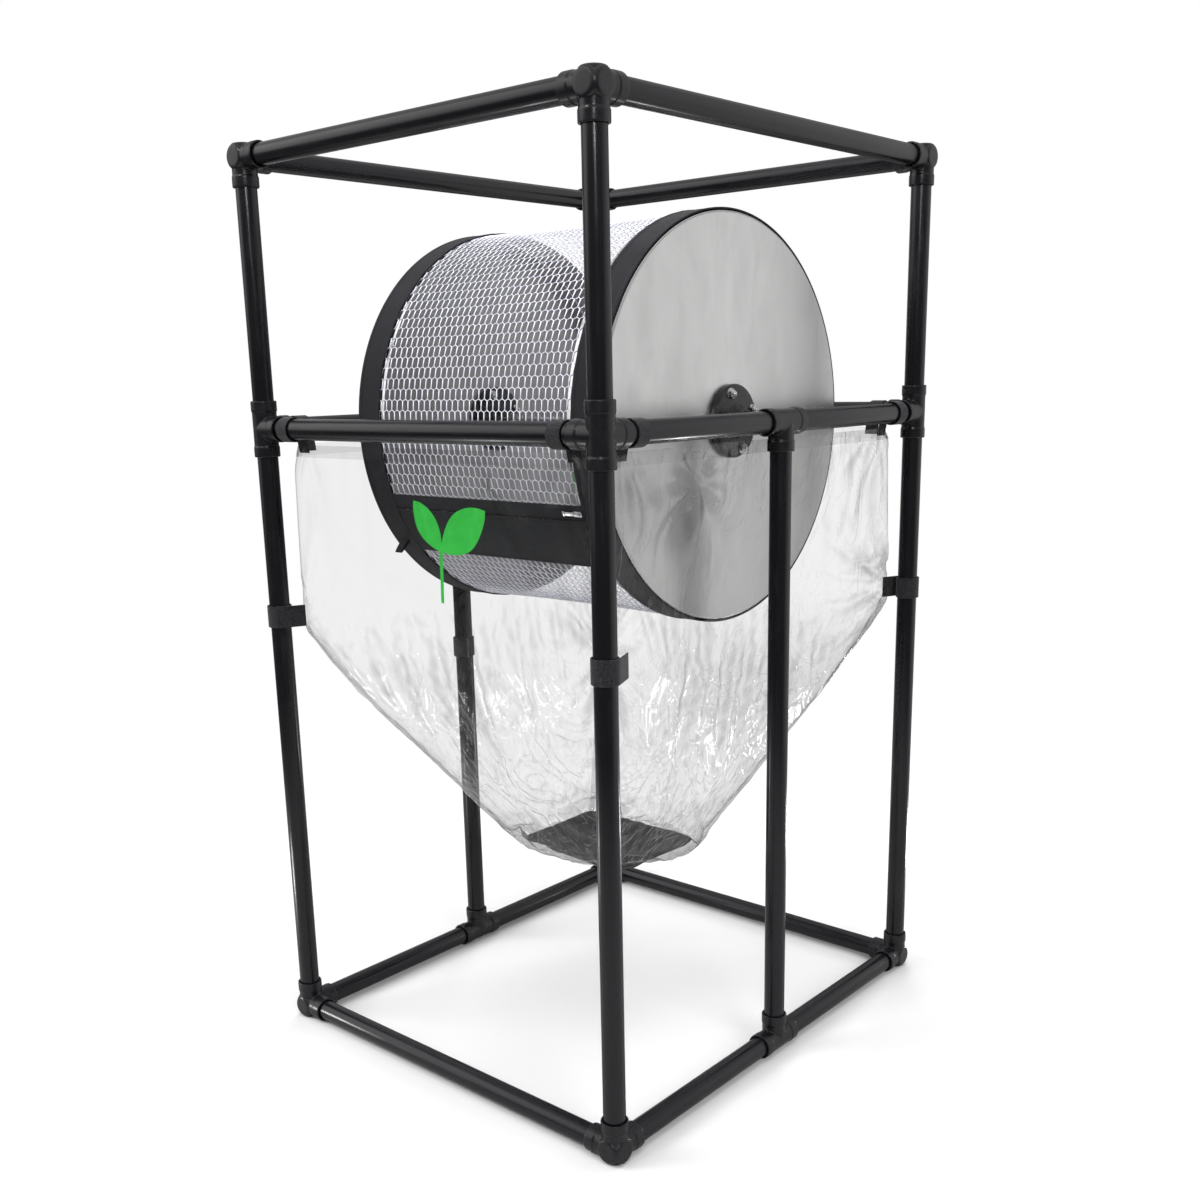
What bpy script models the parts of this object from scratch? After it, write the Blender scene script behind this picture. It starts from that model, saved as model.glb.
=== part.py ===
"""Hand-turned mesh drum tumbler on a plastic pipe frame, with a clear catch bag under the drum.

Metres, +Z up, origin on the floor under the middle of the frame. X runs along the drum's axis,
-Y is the front. left is -X, right is +X.
"""

import math

import bmesh
import bpy
from mathutils import Matrix, Vector

GAP = 0.0003

# Frame: 1 inch furniture pipe, 33.4 mm outside, in moulded fittings with sockets
FRAME_WIDTH = 0.718
FRAME_DEPTH = 0.830
MID_RISE = 1.017
TOP_RISE = 1.429
PIPE_SIDES = 12
PIPE_RADIUS = 0.0167
PIPE_WALL = 0.0034
FITTING_RADIUS = 0.0213
FITTING_INRADIUS = FITTING_RADIUS * math.cos(math.pi / PIPE_SIDES)
ARM_STEP = 0.00015
ARM_OVERLAP = 0.004
CAP_REACH = 0.0208
SOCKET_REACH = 0.0445
SOCKET_CLEARANCE = 0.0005
CUT_EXTRA = 0.010
SOCKET_FLOOR = 0.023
SOCKET_RADIUS = PIPE_RADIUS + 0.0004

# Heights of the three rings of the frame
BOTTOM_Z = CAP_REACH
MID_Z = BOTTOM_Z + MID_RISE
TOP_Z = BOTTOM_Z + TOP_RISE
POST_X = FRAME_WIDTH / 2
POST_Y = FRAME_DEPTH / 2

# Drum: two steel pans joined by a net sleeve, which a fabric band clamps on each pan's lip
DRUM_SIDES = 32
DRUM_MIDDLE_X = 0.008
DRUM_HALF_LENGTH = 0.260
PAN_RADIUS = 0.3085
PAN_THICKNESS = 0.0015
PAN_LIP_LENGTH = 0.062
PAN_HOLE_RADIUS = 0.0100
SLEEVE_THICKNESS = 0.0012
BAND_THICKNESS = 0.0015
BAND_WIDTH = 0.050
SLEEVE_INNER = PAN_RADIUS + GAP
SLEEVE_OUTER = SLEEVE_INNER + SLEEVE_THICKNESS
COVER_INNER = SLEEVE_OUTER + GAP
COVER_OUTER = COVER_INNER + BAND_THICKNESS
PAN_FACE = DRUM_HALF_LENGTH - 0.0015
BAND_OUTER_END = PAN_FACE - 0.0025
BAND_INNER_END = BAND_OUTER_END - BAND_WIDTH
SLEEVE_HALF_LENGTH = BAND_OUTER_END

# Door in the sleeve. Angles are degrees below the horizontal on the front of the drum
TAPE_TOP_ANGLE = 20.3
TAPE_BOTTOM_ANGLE = 24.6
FLAP_TOP_ANGLE = 25.0
FLAP_BOTTOM_ANGLE = 41.0
DOOR_TOP_ANGLE = 26.5
DOOR_BOTTOM_ANGLE = 39.5
DOOR_HALF_LENGTH = 0.195
DOOR_CUT_DEPTH = 0.06
COVER_HALF_LENGTH = BAND_INNER_END - 0.001
PANEL_STEP_ANGLE = 2.5
SLIDER_ANGLE = 22.6
SLIDER_SIZE = Vector((0.016, 0.009, 0.0055))
SLIDER_X = DRUM_MIDDLE_X + 0.196
SLIDER_PULL = Vector((0.026, 0.006, 0.0022))
SLIDER_PULL_PLACE = Vector((-0.016, 0, 0.0016))
TAB_ANGLE = 37.4
TAB_SIZE = Vector((0.018, 0.0022, 0.028))

# Axle, hubs and the bushings in the mid tees
AXLE_RADIUS = 0.0080
AXLE_SLEEVE_RADIUS = 0.0130
AXLE_END_X = 0.350
AXLE_SIDES = 12
HUB_SIDES = 16
HUB_RADIUS = 0.056
HUB_BORE = AXLE_RADIUS + 0.0005
HUB_OUTER_RISE = 0.027
HUB_INNER_RISE = 0.016
HUB_BOSS_RADIUS = 0.020
HUB_BOSS_STEP = 0.003
HUB_BOSS_FOOT = 0.6
HUB_CROWN_HEIGHT = 0.34
HUB_EDGE_HEIGHT = 0.26
HUB_OUTER_CROWN = 0.052
HUB_INNER_CROWN = 0.054
BOLT_CIRCLE = 0.044
BOLT_COUNT = 4
BOLT_ACROSS = 0.013
BOLT_HEIGHT = 0.0055
BOLT_SINK = 0.002
BOLT_TURN = 20.0
INNER_HUB_SEAT = PAN_FACE - PAN_THICKNESS - GAP
BUSH_RADIUS = 0.0125
BUSH_FLANGE_RADIUS = 0.0170
BUSH_FLANGE = 0.0030
BUSH_DEPTH = 0.012

# Catch bag: straight from the mid rails to the post straps, then a funnel to the bottom panel
BAG_INSET = 0.0230
BAG_THICKNESS = 0.0015
BAG_TOP_Z = MID_Z - 0.026
STRAP_Z = BOTTOM_Z + 0.710
BAG_BOTTOM_Z = BOTTOM_Z + 0.276
BAG_HALF_X = POST_X - BAG_INSET
BAG_HALF_Y = POST_Y - BAG_INSET
BAG_CORNER = 0.020
OUTLET_HALF_X = 0.125
OUTLET_HALF_Y = 0.095
PANEL_DEPTH = 0.046
PANEL_DROP = 0.012
PANEL_MARGIN = 0.006
PANEL_CORNER = 0.016
PANEL_LIP = 0.001
PANEL_FLOOR = (0.070, 0.054, 0.014)
STRAP_WIDTH = 0.036
BAG_WALL_END = STRAP_Z - 0.024
STRAP_THICKNESS = 0.0022
STRAP_INNER = PIPE_RADIUS + 0.0005
STRAP_REACH = 0.044
RAIL_TAB_WIDTH = 0.025
RAIL_TAB_DROP = 0.042
RAIL_TAB_OFFSET = 0.067
RAIL_TAB_RISE = 0.004
RAIL_TAB_INNER = PIPE_RADIUS + 0.0010
RAIL_TAB_SEAM = 0.0015

AXES = {"x": Vector((1, 0, 0)), "y": Vector((0, 1, 0)), "z": Vector((0, 0, 1))}


def clear_scene():
    for obj in list(bpy.data.objects):
        bpy.data.objects.remove(obj, do_unlink=True)


def collection(name, helper=False):
    made = bpy.data.collections.new(name)
    made.hide_render = helper
    bpy.context.scene.collection.children.link(made)
    return made


def material(name, colour, roughness, metallic=0.0):
    made = bpy.data.materials.new(name)
    made.use_nodes = True
    shader = made.node_tree.nodes["Principled BSDF"]
    shader.inputs["Base Color"].default_value = (*colour, 1.0)
    shader.inputs["Roughness"].default_value = roughness
    shader.inputs["Metallic"].default_value = metallic
    return made


def new_object(name, mesh, where):
    made = bpy.data.objects.new(name, mesh)
    where.objects.link(made)
    return made


def helper_object(mesh):
    """A cutter, or a shape that is about to be joined to another."""
    made = new_object("helper", mesh, HELPERS)
    made.hide_render = True
    made.display_type = "WIRE"
    return made


def finished(bm, name):
    """The bmesh as a mesh, with its normals pointing out."""
    bmesh.ops.recalc_face_normals(bm, faces=bm.faces)
    mesh = bpy.data.meshes.new(name)
    bm.to_mesh(mesh)
    bm.free()
    return mesh


def evaluated_mesh(obj, name):
    graph = bpy.context.evaluated_depsgraph_get()
    mesh = bpy.data.meshes.new_from_object(obj.evaluated_get(graph))
    mesh.name = name
    mesh.transform(obj.matrix_world)
    bpy.data.objects.remove(obj, do_unlink=True)
    return mesh


def turned(name, profile, sides, closed_loop=False):
    """A solid of revolution about Z from (radius, height) points that run down its outer side.

    The profile starts half a side round, so that flats and not corners face along the axes.
    """
    turn = math.pi / sides
    bm = bmesh.new()
    verts = [bm.verts.new((r * math.cos(turn), r * math.sin(turn), z)) for r, z in profile]
    for first, second in zip(verts, verts[1:]):
        bm.edges.new((first, second))
    if closed_loop:
        bm.edges.new((verts[-1], verts[0]))
    mesh = bpy.data.meshes.new(name)
    bm.to_mesh(mesh)
    bm.free()
    obj = helper_object(mesh)
    screw = obj.modifiers.new("turn", "SCREW")
    screw.steps = sides
    screw.render_steps = sides
    screw.use_merge_vertices = True
    screw.merge_threshold = 0.00001
    bpy.context.view_layer.update()
    made = evaluated_mesh(obj, name)
    bm = bmesh.new()
    bm.from_mesh(made)
    bmesh.ops.remove_doubles(bm, verts=bm.verts, dist=0.000001)
    bmesh.ops.recalc_face_normals(bm, faces=bm.faces)
    bm.to_mesh(made)
    bm.free()
    return made


def box_mesh(size):
    bm = bmesh.new()
    bmesh.ops.create_cube(bm, size=1.0)
    bmesh.ops.scale(bm, vec=size, verts=bm.verts)
    return finished(bm, "box")


def placed(mesh, matrix):
    made = mesh.copy()
    made.transform(matrix)
    return made


def boolean(base, others, operation):
    """The base mesh with the other meshes joined to it or cut from it, one after another."""
    obj = helper_object(base)
    helpers = [helper_object(other) for other in others]
    for helper in helpers:
        modifier = obj.modifiers.new(operation.lower(), "BOOLEAN")
        modifier.operation = operation
        modifier.solver = "EXACT"
        modifier.object = helper
    bpy.context.view_layer.update()
    made = evaluated_mesh(obj, base.name)
    for helper in helpers:
        bpy.data.objects.remove(helper, do_unlink=True)
    return made


def part(name, mesh, finish, origin=(0, 0, 0)):
    """A node of the model. Its mesh is in world space, and its origin is moved to the given point."""
    if origin != (0, 0, 0):
        mesh.transform(Matrix.Translation(-Vector(origin)))
    obj = new_object(name, mesh, MODEL)
    obj.location = origin
    mesh.materials.clear()
    mesh.materials.append(finish)
    mesh.shade_smooth()
    mesh.set_sharp_from_angle(angle=math.radians(35))
    return obj


def along(axis):
    """The rotation that takes +Z to an axis."""
    return AXES["z"].rotation_difference(axis).to_matrix().to_4x4()


# ---------------------------------------------------------------- frame


def pipe_mesh(length):
    """A tube from z = 0 to its length."""
    inner = PIPE_RADIUS - PIPE_WALL
    profile = [(PIPE_RADIUS, length), (PIPE_RADIUS, 0), (inner, 0), (inner, length)]
    return turned("pipe", profile, PIPE_SIDES, closed_loop=True)


def pipe(name, start, end):
    """A pipe between the centres of two fittings, seated in their sockets."""
    start, end = Vector(start), Vector(end)
    direction = (end - start).normalized()
    seat = SOCKET_FLOOR + SOCKET_CLEARANCE
    mesh = pipe_mesh((end - start).length - 2 * seat)
    mesh.transform(Matrix.Translation(start + direction * seat) @ along(direction))
    part(name, mesh, PIPE_BLACK)


def arm_mesh(radius, tail):
    """One arm of a fitting along +Z, from its tail below the centre to its mouth."""
    profile = [(0, SOCKET_REACH), (radius, SOCKET_REACH), (radius, -tail), (0, -tail)]
    return turned("arm", profile, PIPE_SIDES)


def socket_mesh():
    outside = SOCKET_REACH + CUT_EXTRA
    profile = [(0, outside), (SOCKET_RADIUS, outside)]
    profile += [(SOCKET_RADIUS, SOCKET_FLOOR), (0, SOCKET_FLOOR)]
    return turned("socket", profile, PIPE_SIDES)


def fitting_mesh(directions, closed_end):
    """A moulded fitting with a socket in each direction.

    Each arm is a little thinner than the one before, so that no two of their flats coincide.
    """
    tail = CAP_REACH if closed_end else ARM_OVERLAP
    arms = []
    for index, direction in enumerate(directions):
        arm = arm_mesh(FITTING_RADIUS - index * ARM_STEP, tail)
        arms.append(placed(arm, along(direction)))
    body = boolean(arms[0], arms[1:], "UNION")
    return boolean(body, [placed(socket_mesh(), along(d)) for d in directions], "DIFFERENCE")


def fitting(name, mesh, centre, turn=None):
    made = mesh.copy()
    if turn:
        made.transform(turn)
    made.transform(Matrix.Translation(centre))
    part(name, made, FITTING_BLACK)


def corner_turn(sign_x, sign_y, sign_z):
    """The rotation that points an elbow's three arms inward from the given corner."""
    arms = [Vector((-sign_x, 0, 0)), Vector((0, -sign_y, 0)), Vector((0, 0, -sign_z))]
    if sign_x * sign_y * sign_z > 0:
        arms[0], arms[1] = arms[1], arms[0]
    return Matrix(arms).transposed().to_4x4()


def build_frame():
    sides = [("left", -1), ("right", 1)]
    depths = [("front", -1), ("back", 1)]
    elbow = fitting_mesh([AXES["x"], AXES["y"], AXES["z"]], closed_end=True)
    cross = fitting_mesh([AXES["z"], -AXES["z"], AXES["x"], AXES["y"]], closed_end=False)
    tee = fitting_mesh([AXES["y"], -AXES["y"], AXES["z"]], closed_end=False)
    for side, sx in sides:
        for depth, sy in depths:
            x, y = sx * POST_X, sy * POST_Y
            for level, z, sz in (("top", TOP_Z, 1), ("bottom", BOTTOM_Z, -1)):
                name = f"{level}_elbow_{depth}_{side}"
                fitting(name, elbow, Vector((x, y, z)), corner_turn(sx, sy, sz))
            quarter = {(-1, -1): 0, (1, -1): 90, (1, 1): 180, (-1, 1): 270}[sx, sy]
            turn = Matrix.Rotation(math.radians(quarter), 4, "Z")
            fitting(f"mid_cross_{depth}_{side}", cross, Vector((x, y, MID_Z)), turn)
            pipe(f"upper_post_{depth}_{side}", (x, y, MID_Z), (x, y, TOP_Z))
            pipe(f"lower_post_{depth}_{side}", (x, y, BOTTOM_Z), (x, y, MID_Z))
    for depth, sy in depths:
        for level, z in (("top", TOP_Z), ("mid", MID_Z), ("bottom", BOTTOM_Z)):
            y = sy * POST_Y
            pipe(f"{level}_rail_{depth}", (-POST_X, y, z), (POST_X, y, z))
    for side, sx in sides:
        x = sx * POST_X
        pipe(f"top_rail_{side}", (x, -POST_Y, TOP_Z), (x, POST_Y, TOP_Z))
        for level, z in (("mid", MID_Z), ("bottom", BOTTOM_Z)):
            pipe(f"{level}_rail_{side}_front", (x, -POST_Y, z), (x, 0, z))
            pipe(f"{level}_rail_{side}_back", (x, 0, z), (x, POST_Y, z))
        pipe(f"centre_post_{side}", (x, 0, BOTTOM_Z), (x, 0, MID_Z))
        fitting(f"bottom_tee_{side}", tee, Vector((x, 0, BOTTOM_Z)))
        upside_down = Matrix.Rotation(math.pi, 4, "Y")
        bored = boolean(placed(tee, upside_down), [bush_pocket(sx)], "DIFFERENCE")
        fitting(f"mid_tee_{side}", bored, Vector((x, 0, MID_Z)))


def bush_pocket(side):
    """The blind hole in the inner side of a mid tee, from the tee's centre outwards."""
    radius = BUSH_RADIUS + GAP
    depth = FITTING_INRADIUS - BUSH_DEPTH
    outside = SOCKET_REACH
    profile = [(0, outside), (radius, outside), (radius, depth - GAP), (0, depth - GAP)]
    return placed(turned("pocket", profile, AXLE_SIDES), along(AXES["x"] * -side))


# ---------------------------------------------------------------- drum


def drum_mesh(name, profile, end, closed_loop=True, sides=DRUM_SIDES):
    """A turned piece of the drum. Heights in the profile run outward from the drum's middle."""
    mesh = turned(name, profile, sides, closed_loop)
    mesh.transform(Matrix.Translation((DRUM_MIDDLE_X, 0, MID_Z)) @ along(AXES["x"] * end))
    return mesh


def end_pan(end):
    lip_end = PAN_FACE - PAN_LIP_LENGTH
    lip_inner = PAN_RADIUS - PAN_THICKNESS
    profile = [(PAN_HOLE_RADIUS, PAN_FACE), (PAN_RADIUS, PAN_FACE), (PAN_RADIUS, lip_end)]
    profile += [(lip_inner, lip_end), (lip_inner, PAN_FACE - PAN_THICKNESS)]
    profile += [(PAN_HOLE_RADIUS, PAN_FACE - PAN_THICKNESS)]
    return drum_mesh("pan", profile, end)


def rim_band(end):
    """A strap round the rim, a little behind the pan's face."""
    profile = [(COVER_INNER, BAND_OUTER_END), (COVER_OUTER, BAND_OUTER_END)]
    profile += [(COVER_OUTER, BAND_INNER_END), (COVER_INNER, BAND_INNER_END)]
    return drum_mesh("band", profile, end)


def on_drum(angle, radius):
    """A point on the front of the drum, an angle in degrees below the horizontal."""
    turn = math.radians(angle)
    return Vector((0, -radius * math.cos(turn), MID_Z - radius * math.sin(turn)))


def drum_turn(angle):
    """The rotation that makes +Z point out of the drum at an angle below the horizontal."""
    return Matrix.Rotation(math.radians(90 + angle), 4, "X")


def door_cutter():
    middle = (DOOR_TOP_ANGLE + DOOR_BOTTOM_ANGLE) / 2
    half = math.radians(DOOR_BOTTOM_ANGLE - DOOR_TOP_ANGLE) / 2
    size = Vector((2 * DOOR_HALF_LENGTH, 2 * SLEEVE_OUTER * math.sin(half), DOOR_CUT_DEPTH))
    place = on_drum(middle, SLEEVE_OUTER) + Vector((DRUM_MIDDLE_X, 0, 0))
    return placed(box_mesh(size), Matrix.Translation(place) @ drum_turn(middle))


def sleeve():
    """The net tube between the pans, with the door cut in it."""
    half = SLEEVE_HALF_LENGTH
    profile = [(SLEEVE_OUTER, half), (SLEEVE_OUTER, -half)]
    profile += [(SLEEVE_INNER, -half), (SLEEVE_INNER, half)]
    return boolean(drum_mesh("sleeve", profile, 1), [door_cutter()], "DIFFERENCE")


def curved_panel(top_angle, bottom_angle):
    """A strip of fabric that follows the drum between two angles, between the rim bands."""
    steps = max(3, round((bottom_angle - top_angle) / PANEL_STEP_ANGLE))
    bm = bmesh.new()
    left = Vector((DRUM_MIDDLE_X - COVER_HALF_LENGTH, 0, 0))
    verts = []
    for step in range(steps + 1):
        angle = top_angle + (bottom_angle - top_angle) * step / steps
        verts.append(bm.verts.new(on_drum(angle, COVER_OUTER) + left))
    edges = [bm.edges.new(pair) for pair in zip(verts, verts[1:])]
    extruded = bmesh.ops.extrude_edge_only(bm, edges=edges)["geom"]
    moved = [item for item in extruded if isinstance(item, bmesh.types.BMVert)]
    bmesh.ops.translate(bm, vec=(2 * COVER_HALF_LENGTH, 0, 0), verts=moved)
    bm.normal_update()
    bm.faces.ensure_lookup_table()
    if bm.faces[0].normal.y > 0:
        bmesh.ops.reverse_faces(bm, faces=bm.faces)
    mesh = bpy.data.meshes.new("panel")
    bm.to_mesh(mesh)
    bm.free()
    obj = helper_object(mesh)
    shell = obj.modifiers.new("thickness", "SOLIDIFY")
    shell.thickness = BAND_THICKNESS
    shell.offset = -1.0
    bpy.context.view_layer.update()
    return evaluated_mesh(obj, "panel")


def slider_mesh():
    """The zip's slider with its pull lying along the zip."""
    base = box_mesh(SLIDER_SIZE)
    pull = box_mesh(SLIDER_PULL)
    pull.transform(Matrix.Translation(SLIDER_PULL_PLACE))
    made = boolean(base, [pull], "UNION")
    height = COVER_OUTER + GAP + SLIDER_SIZE.z / 2
    place = on_drum(SLIDER_ANGLE, height) + Vector((SLIDER_X, 0, 0))
    made.transform(Matrix.Translation(place) @ drum_turn(SLIDER_ANGLE))
    return made


def pull_tab_mesh():
    """A short grab tab that stands on the left rim band."""
    height = COVER_OUTER + GAP + TAB_SIZE.z / 2
    place = on_drum(TAB_ANGLE, height)
    place.x = DRUM_MIDDLE_X - BAND_INNER_END - BAND_WIDTH / 2
    return placed(box_mesh(TAB_SIZE), Matrix.Translation(place) @ drum_turn(TAB_ANGLE))


def hub_mesh(rise, crown_radius):
    """A bolted hub flange along +Z from its seat at z = 0, with four hex bolt heads."""
    profile = [(HUB_BORE, rise), (HUB_BOSS_RADIUS, rise)]
    profile += [(HUB_BOSS_RADIUS + HUB_BOSS_STEP, HUB_BOSS_FOOT * rise)]
    profile += [(crown_radius, HUB_CROWN_HEIGHT * rise), (HUB_RADIUS, HUB_EDGE_HEIGHT * rise)]
    profile += [(HUB_RADIUS, 0), (HUB_BORE, 0)]
    base = turned("hub", profile, HUB_SIDES, closed_loop=True)
    head_end = BOLT_HEIGHT + HUB_CROWN_HEIGHT * rise
    heads = []
    for index in range(BOLT_COUNT):
        bm = bmesh.new()
        bmesh.ops.create_cone(
            bm, cap_ends=True, segments=6, depth=head_end - BOLT_SINK,
            radius1=BOLT_ACROSS / math.sqrt(3), radius2=BOLT_ACROSS / math.sqrt(3),
        )
        turn = math.radians(BOLT_TURN + 360 * index / BOLT_COUNT)
        centre = Vector((math.cos(turn), math.sin(turn), 0)) * BOLT_CIRCLE
        centre.z = (head_end + BOLT_SINK) / 2
        bmesh.ops.translate(bm, vec=centre, verts=bm.verts)
        heads.append(finished(bm, "head"))
    return boolean(base, heads, "UNION")


def hub(name, end, seat, outward, rise, crown_radius):
    """A hub flange on one face of a pan. outward is 1 on the outer face and -1 on the inner."""
    mesh = hub_mesh(rise, crown_radius)
    direction = AXES["x"] * end * outward
    place = Vector((DRUM_MIDDLE_X + end * seat, 0, MID_Z))
    mesh.transform(Matrix.Translation(place) @ along(direction))
    part(name, mesh, HUB_BLACK, (place.x, 0, MID_Z))


def axle():
    """The through shaft, with a thicker spacer sleeve on it between the two inner hubs."""
    reach = INNER_HUB_SEAT - HUB_INNER_RISE - GAP
    right, left = DRUM_MIDDLE_X + reach, DRUM_MIDDLE_X - reach
    profile = [(0, AXLE_END_X), (AXLE_RADIUS, AXLE_END_X), (AXLE_RADIUS, right)]
    profile += [(AXLE_SLEEVE_RADIUS, right), (AXLE_SLEEVE_RADIUS, left), (AXLE_RADIUS, left)]
    profile += [(AXLE_RADIUS, -AXLE_END_X), (0, -AXLE_END_X)]
    mesh = turned("axle", profile, AXLE_SIDES)
    mesh.transform(Matrix.Translation((0, 0, MID_Z)) @ along(AXES["x"]))
    return mesh


def bushing(side):
    """A flanged bush in a mid tee. Its flange stands against the tee's inner side."""
    seat = FITTING_INRADIUS
    flange_end = seat + GAP + BUSH_FLANGE
    profile = [(HUB_BORE, flange_end), (BUSH_FLANGE_RADIUS, flange_end)]
    profile += [(BUSH_FLANGE_RADIUS, seat + GAP), (BUSH_RADIUS, seat + GAP)]
    profile += [(BUSH_RADIUS, seat - BUSH_DEPTH), (HUB_BORE, seat - BUSH_DEPTH)]
    mesh = turned("bush", profile, AXLE_SIDES, closed_loop=True)
    place = Matrix.Translation((side * POST_X, 0, MID_Z))
    mesh.transform(place @ along(AXES["x"] * -side))
    return mesh


def build_drum():
    axis = (0, 0, MID_Z)
    for side, end in (("left", -1), ("right", 1)):
        part(f"end_plate_{side}", end_pan(end), STEEL, axis)
        part(f"rim_band_{side}", rim_band(end), FABRIC, axis)
        hub(f"hub_outer_{side}", end, PAN_FACE + GAP, 1, HUB_OUTER_RISE, HUB_OUTER_CROWN)
        hub(f"hub_inner_{side}", end, INNER_HUB_SEAT, -1, HUB_INNER_RISE, HUB_INNER_CROWN)
        part(f"axle_bushing_{side}", bushing(end), BUSH_WHITE)
    part("mesh_sleeve", sleeve(), NET, axis)
    part("axle", axle(), STEEL, axis)
    part("zip_tape", curved_panel(TAPE_TOP_ANGLE, TAPE_BOTTOM_ANGLE), FABRIC, axis)
    hinge = on_drum(FLAP_BOTTOM_ANGLE, COVER_OUTER)
    flap = curved_panel(FLAP_TOP_ANGLE, FLAP_BOTTOM_ANGLE)
    part("door_flap", flap, FABRIC, (DRUM_MIDDLE_X, hinge.y, hinge.z))
    slider = on_drum(SLIDER_ANGLE, COVER_OUTER)
    part("zip_slider", slider_mesh(), ZIP_METAL, (SLIDER_X, slider.y, slider.z))
    part("pull_tab", pull_tab_mesh(), FABRIC, axis)


# ---------------------------------------------------------------- catch bag


def rounded_loop(bm, half_x, half_y, corner, z):
    """A ring of points round a rectangle with cut-off round corners."""
    points = []
    for quarter in range(4):
        sx = 1 if quarter in (0, 3) else -1
        sy = 1 if quarter in (0, 1) else -1
        centre = Vector((sx * (half_x - corner), sy * (half_y - corner), z))
        for step in range(3):
            turn = math.radians(90 * quarter + 45 * step)
            points.append(centre + corner * Vector((math.cos(turn), math.sin(turn), 0)))
    return [bm.verts.new(point) for point in points]


def shell_mesh(rings, thickness, floor):
    """A shell through rings of (half_x, half_y, corner, z), from the top ring down."""
    bm = bmesh.new()
    loops = [rounded_loop(bm, *ring) for ring in rings]
    count = len(loops[0])
    for upper, lower in zip(loops, loops[1:]):
        for i in range(count):
            j = (i + 1) % count
            bm.faces.new((upper[j], upper[i], lower[i], lower[j]))
    if floor:
        bm.faces.new(reversed(loops[-1]))
    bm.normal_update()
    mesh = bpy.data.meshes.new("shell")
    bm.to_mesh(mesh)
    bm.free()
    obj = helper_object(mesh)
    solid = obj.modifiers.new("thickness", "SOLIDIFY")
    solid.thickness = thickness
    solid.offset = -1.0
    solid.use_even_offset = True
    bpy.context.view_layer.update()
    return evaluated_mesh(obj, "shell")


def strap_loop(centre, axis, width):
    """A strap round a pipe."""
    inner, outer = STRAP_INNER, STRAP_INNER + STRAP_THICKNESS
    profile = [(outer, width / 2), (outer, -width / 2), (inner, -width / 2), (inner, width / 2)]
    mesh = turned("strap", profile, PIPE_SIDES, closed_loop=True)
    mesh.transform(Matrix.Translation(centre) @ along(axis))
    return mesh


def post_strap(x, y, z, inward):
    """A strap round a post, with a tail that reaches the film inward from it."""
    inward = Vector(inward).normalized()
    near = PIPE_RADIUS + STRAP_THICKNESS / 2
    tail = box_mesh(Vector((STRAP_REACH - near, STRAP_THICKNESS, STRAP_WIDTH)))
    turn = Matrix.Rotation(math.atan2(inward.y, inward.x), 4, "Z")
    centre = Vector((x, y, z))
    middle = centre + inward * (STRAP_REACH + near) / 2
    tail.transform(Matrix.Translation(middle) @ turn)
    return [strap_loop(centre, AXES["z"], STRAP_WIDTH), tail]


def rail_tab(x, y, axis, inward):
    """A narrow loop round a mid rail, with a tail down to the film's top edge."""
    near, far = RAIL_TAB_INNER, BAG_INSET + RAIL_TAB_SEAM
    size = AXES[axis] * RAIL_TAB_WIDTH + AXES["z"] * RAIL_TAB_DROP
    size += Vector((abs(inward[0]), abs(inward[1]), 0)) * (far - near)
    tail = box_mesh(size)
    centre = Vector((x, y, MID_Z))
    middle = centre + Vector(inward) * (near + far) / 2
    middle.z += RAIL_TAB_RISE - RAIL_TAB_DROP / 2
    tail.transform(Matrix.Translation(middle))
    return [strap_loop(centre, AXES[axis], RAIL_TAB_WIDTH), tail]


def bag_fixings():
    """The straps on the posts and the tabs on the mid rails, all sewn to the film."""
    made = []
    for sx in (-1, 1):
        for sy in (-1, 1):
            x, y = sx * POST_X, sy * POST_Y
            made += post_strap(x, y, STRAP_Z, (-sx, -sy, 0))
            made += rail_tab(x - sx * RAIL_TAB_OFFSET, y, "x", (0, -sy, 0))
            made += rail_tab(x, y - sy * RAIL_TAB_OFFSET, "y", (-sx, 0, 0))
    return made


def build_bag():
    rings = [
        (BAG_HALF_X, BAG_HALF_Y, BAG_CORNER, BAG_TOP_Z),
        (BAG_HALF_X, BAG_HALF_Y, BAG_CORNER, BAG_WALL_END),
        (OUTLET_HALF_X, OUTLET_HALF_Y, BAG_CORNER, BAG_BOTTOM_Z),
    ]
    film = shell_mesh(rings, BAG_THICKNESS, floor=False)
    part("catch_bag", boolean(film, bag_fixings(), "UNION"), FILM)
    rim_x, rim_y = OUTLET_HALF_X - PANEL_MARGIN, OUTLET_HALF_Y - PANEL_MARGIN
    rings = [
        (rim_x, rim_y, PANEL_CORNER, BAG_BOTTOM_Z + PANEL_LIP),
        (rim_x, rim_y, PANEL_CORNER, BAG_BOTTOM_Z - PANEL_DROP),
        (*PANEL_FLOOR, BAG_BOTTOM_Z - PANEL_DEPTH),
    ]
    part("bag_bottom", shell_mesh(rings, BAG_THICKNESS, floor=True), PANEL_GREY)


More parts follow.
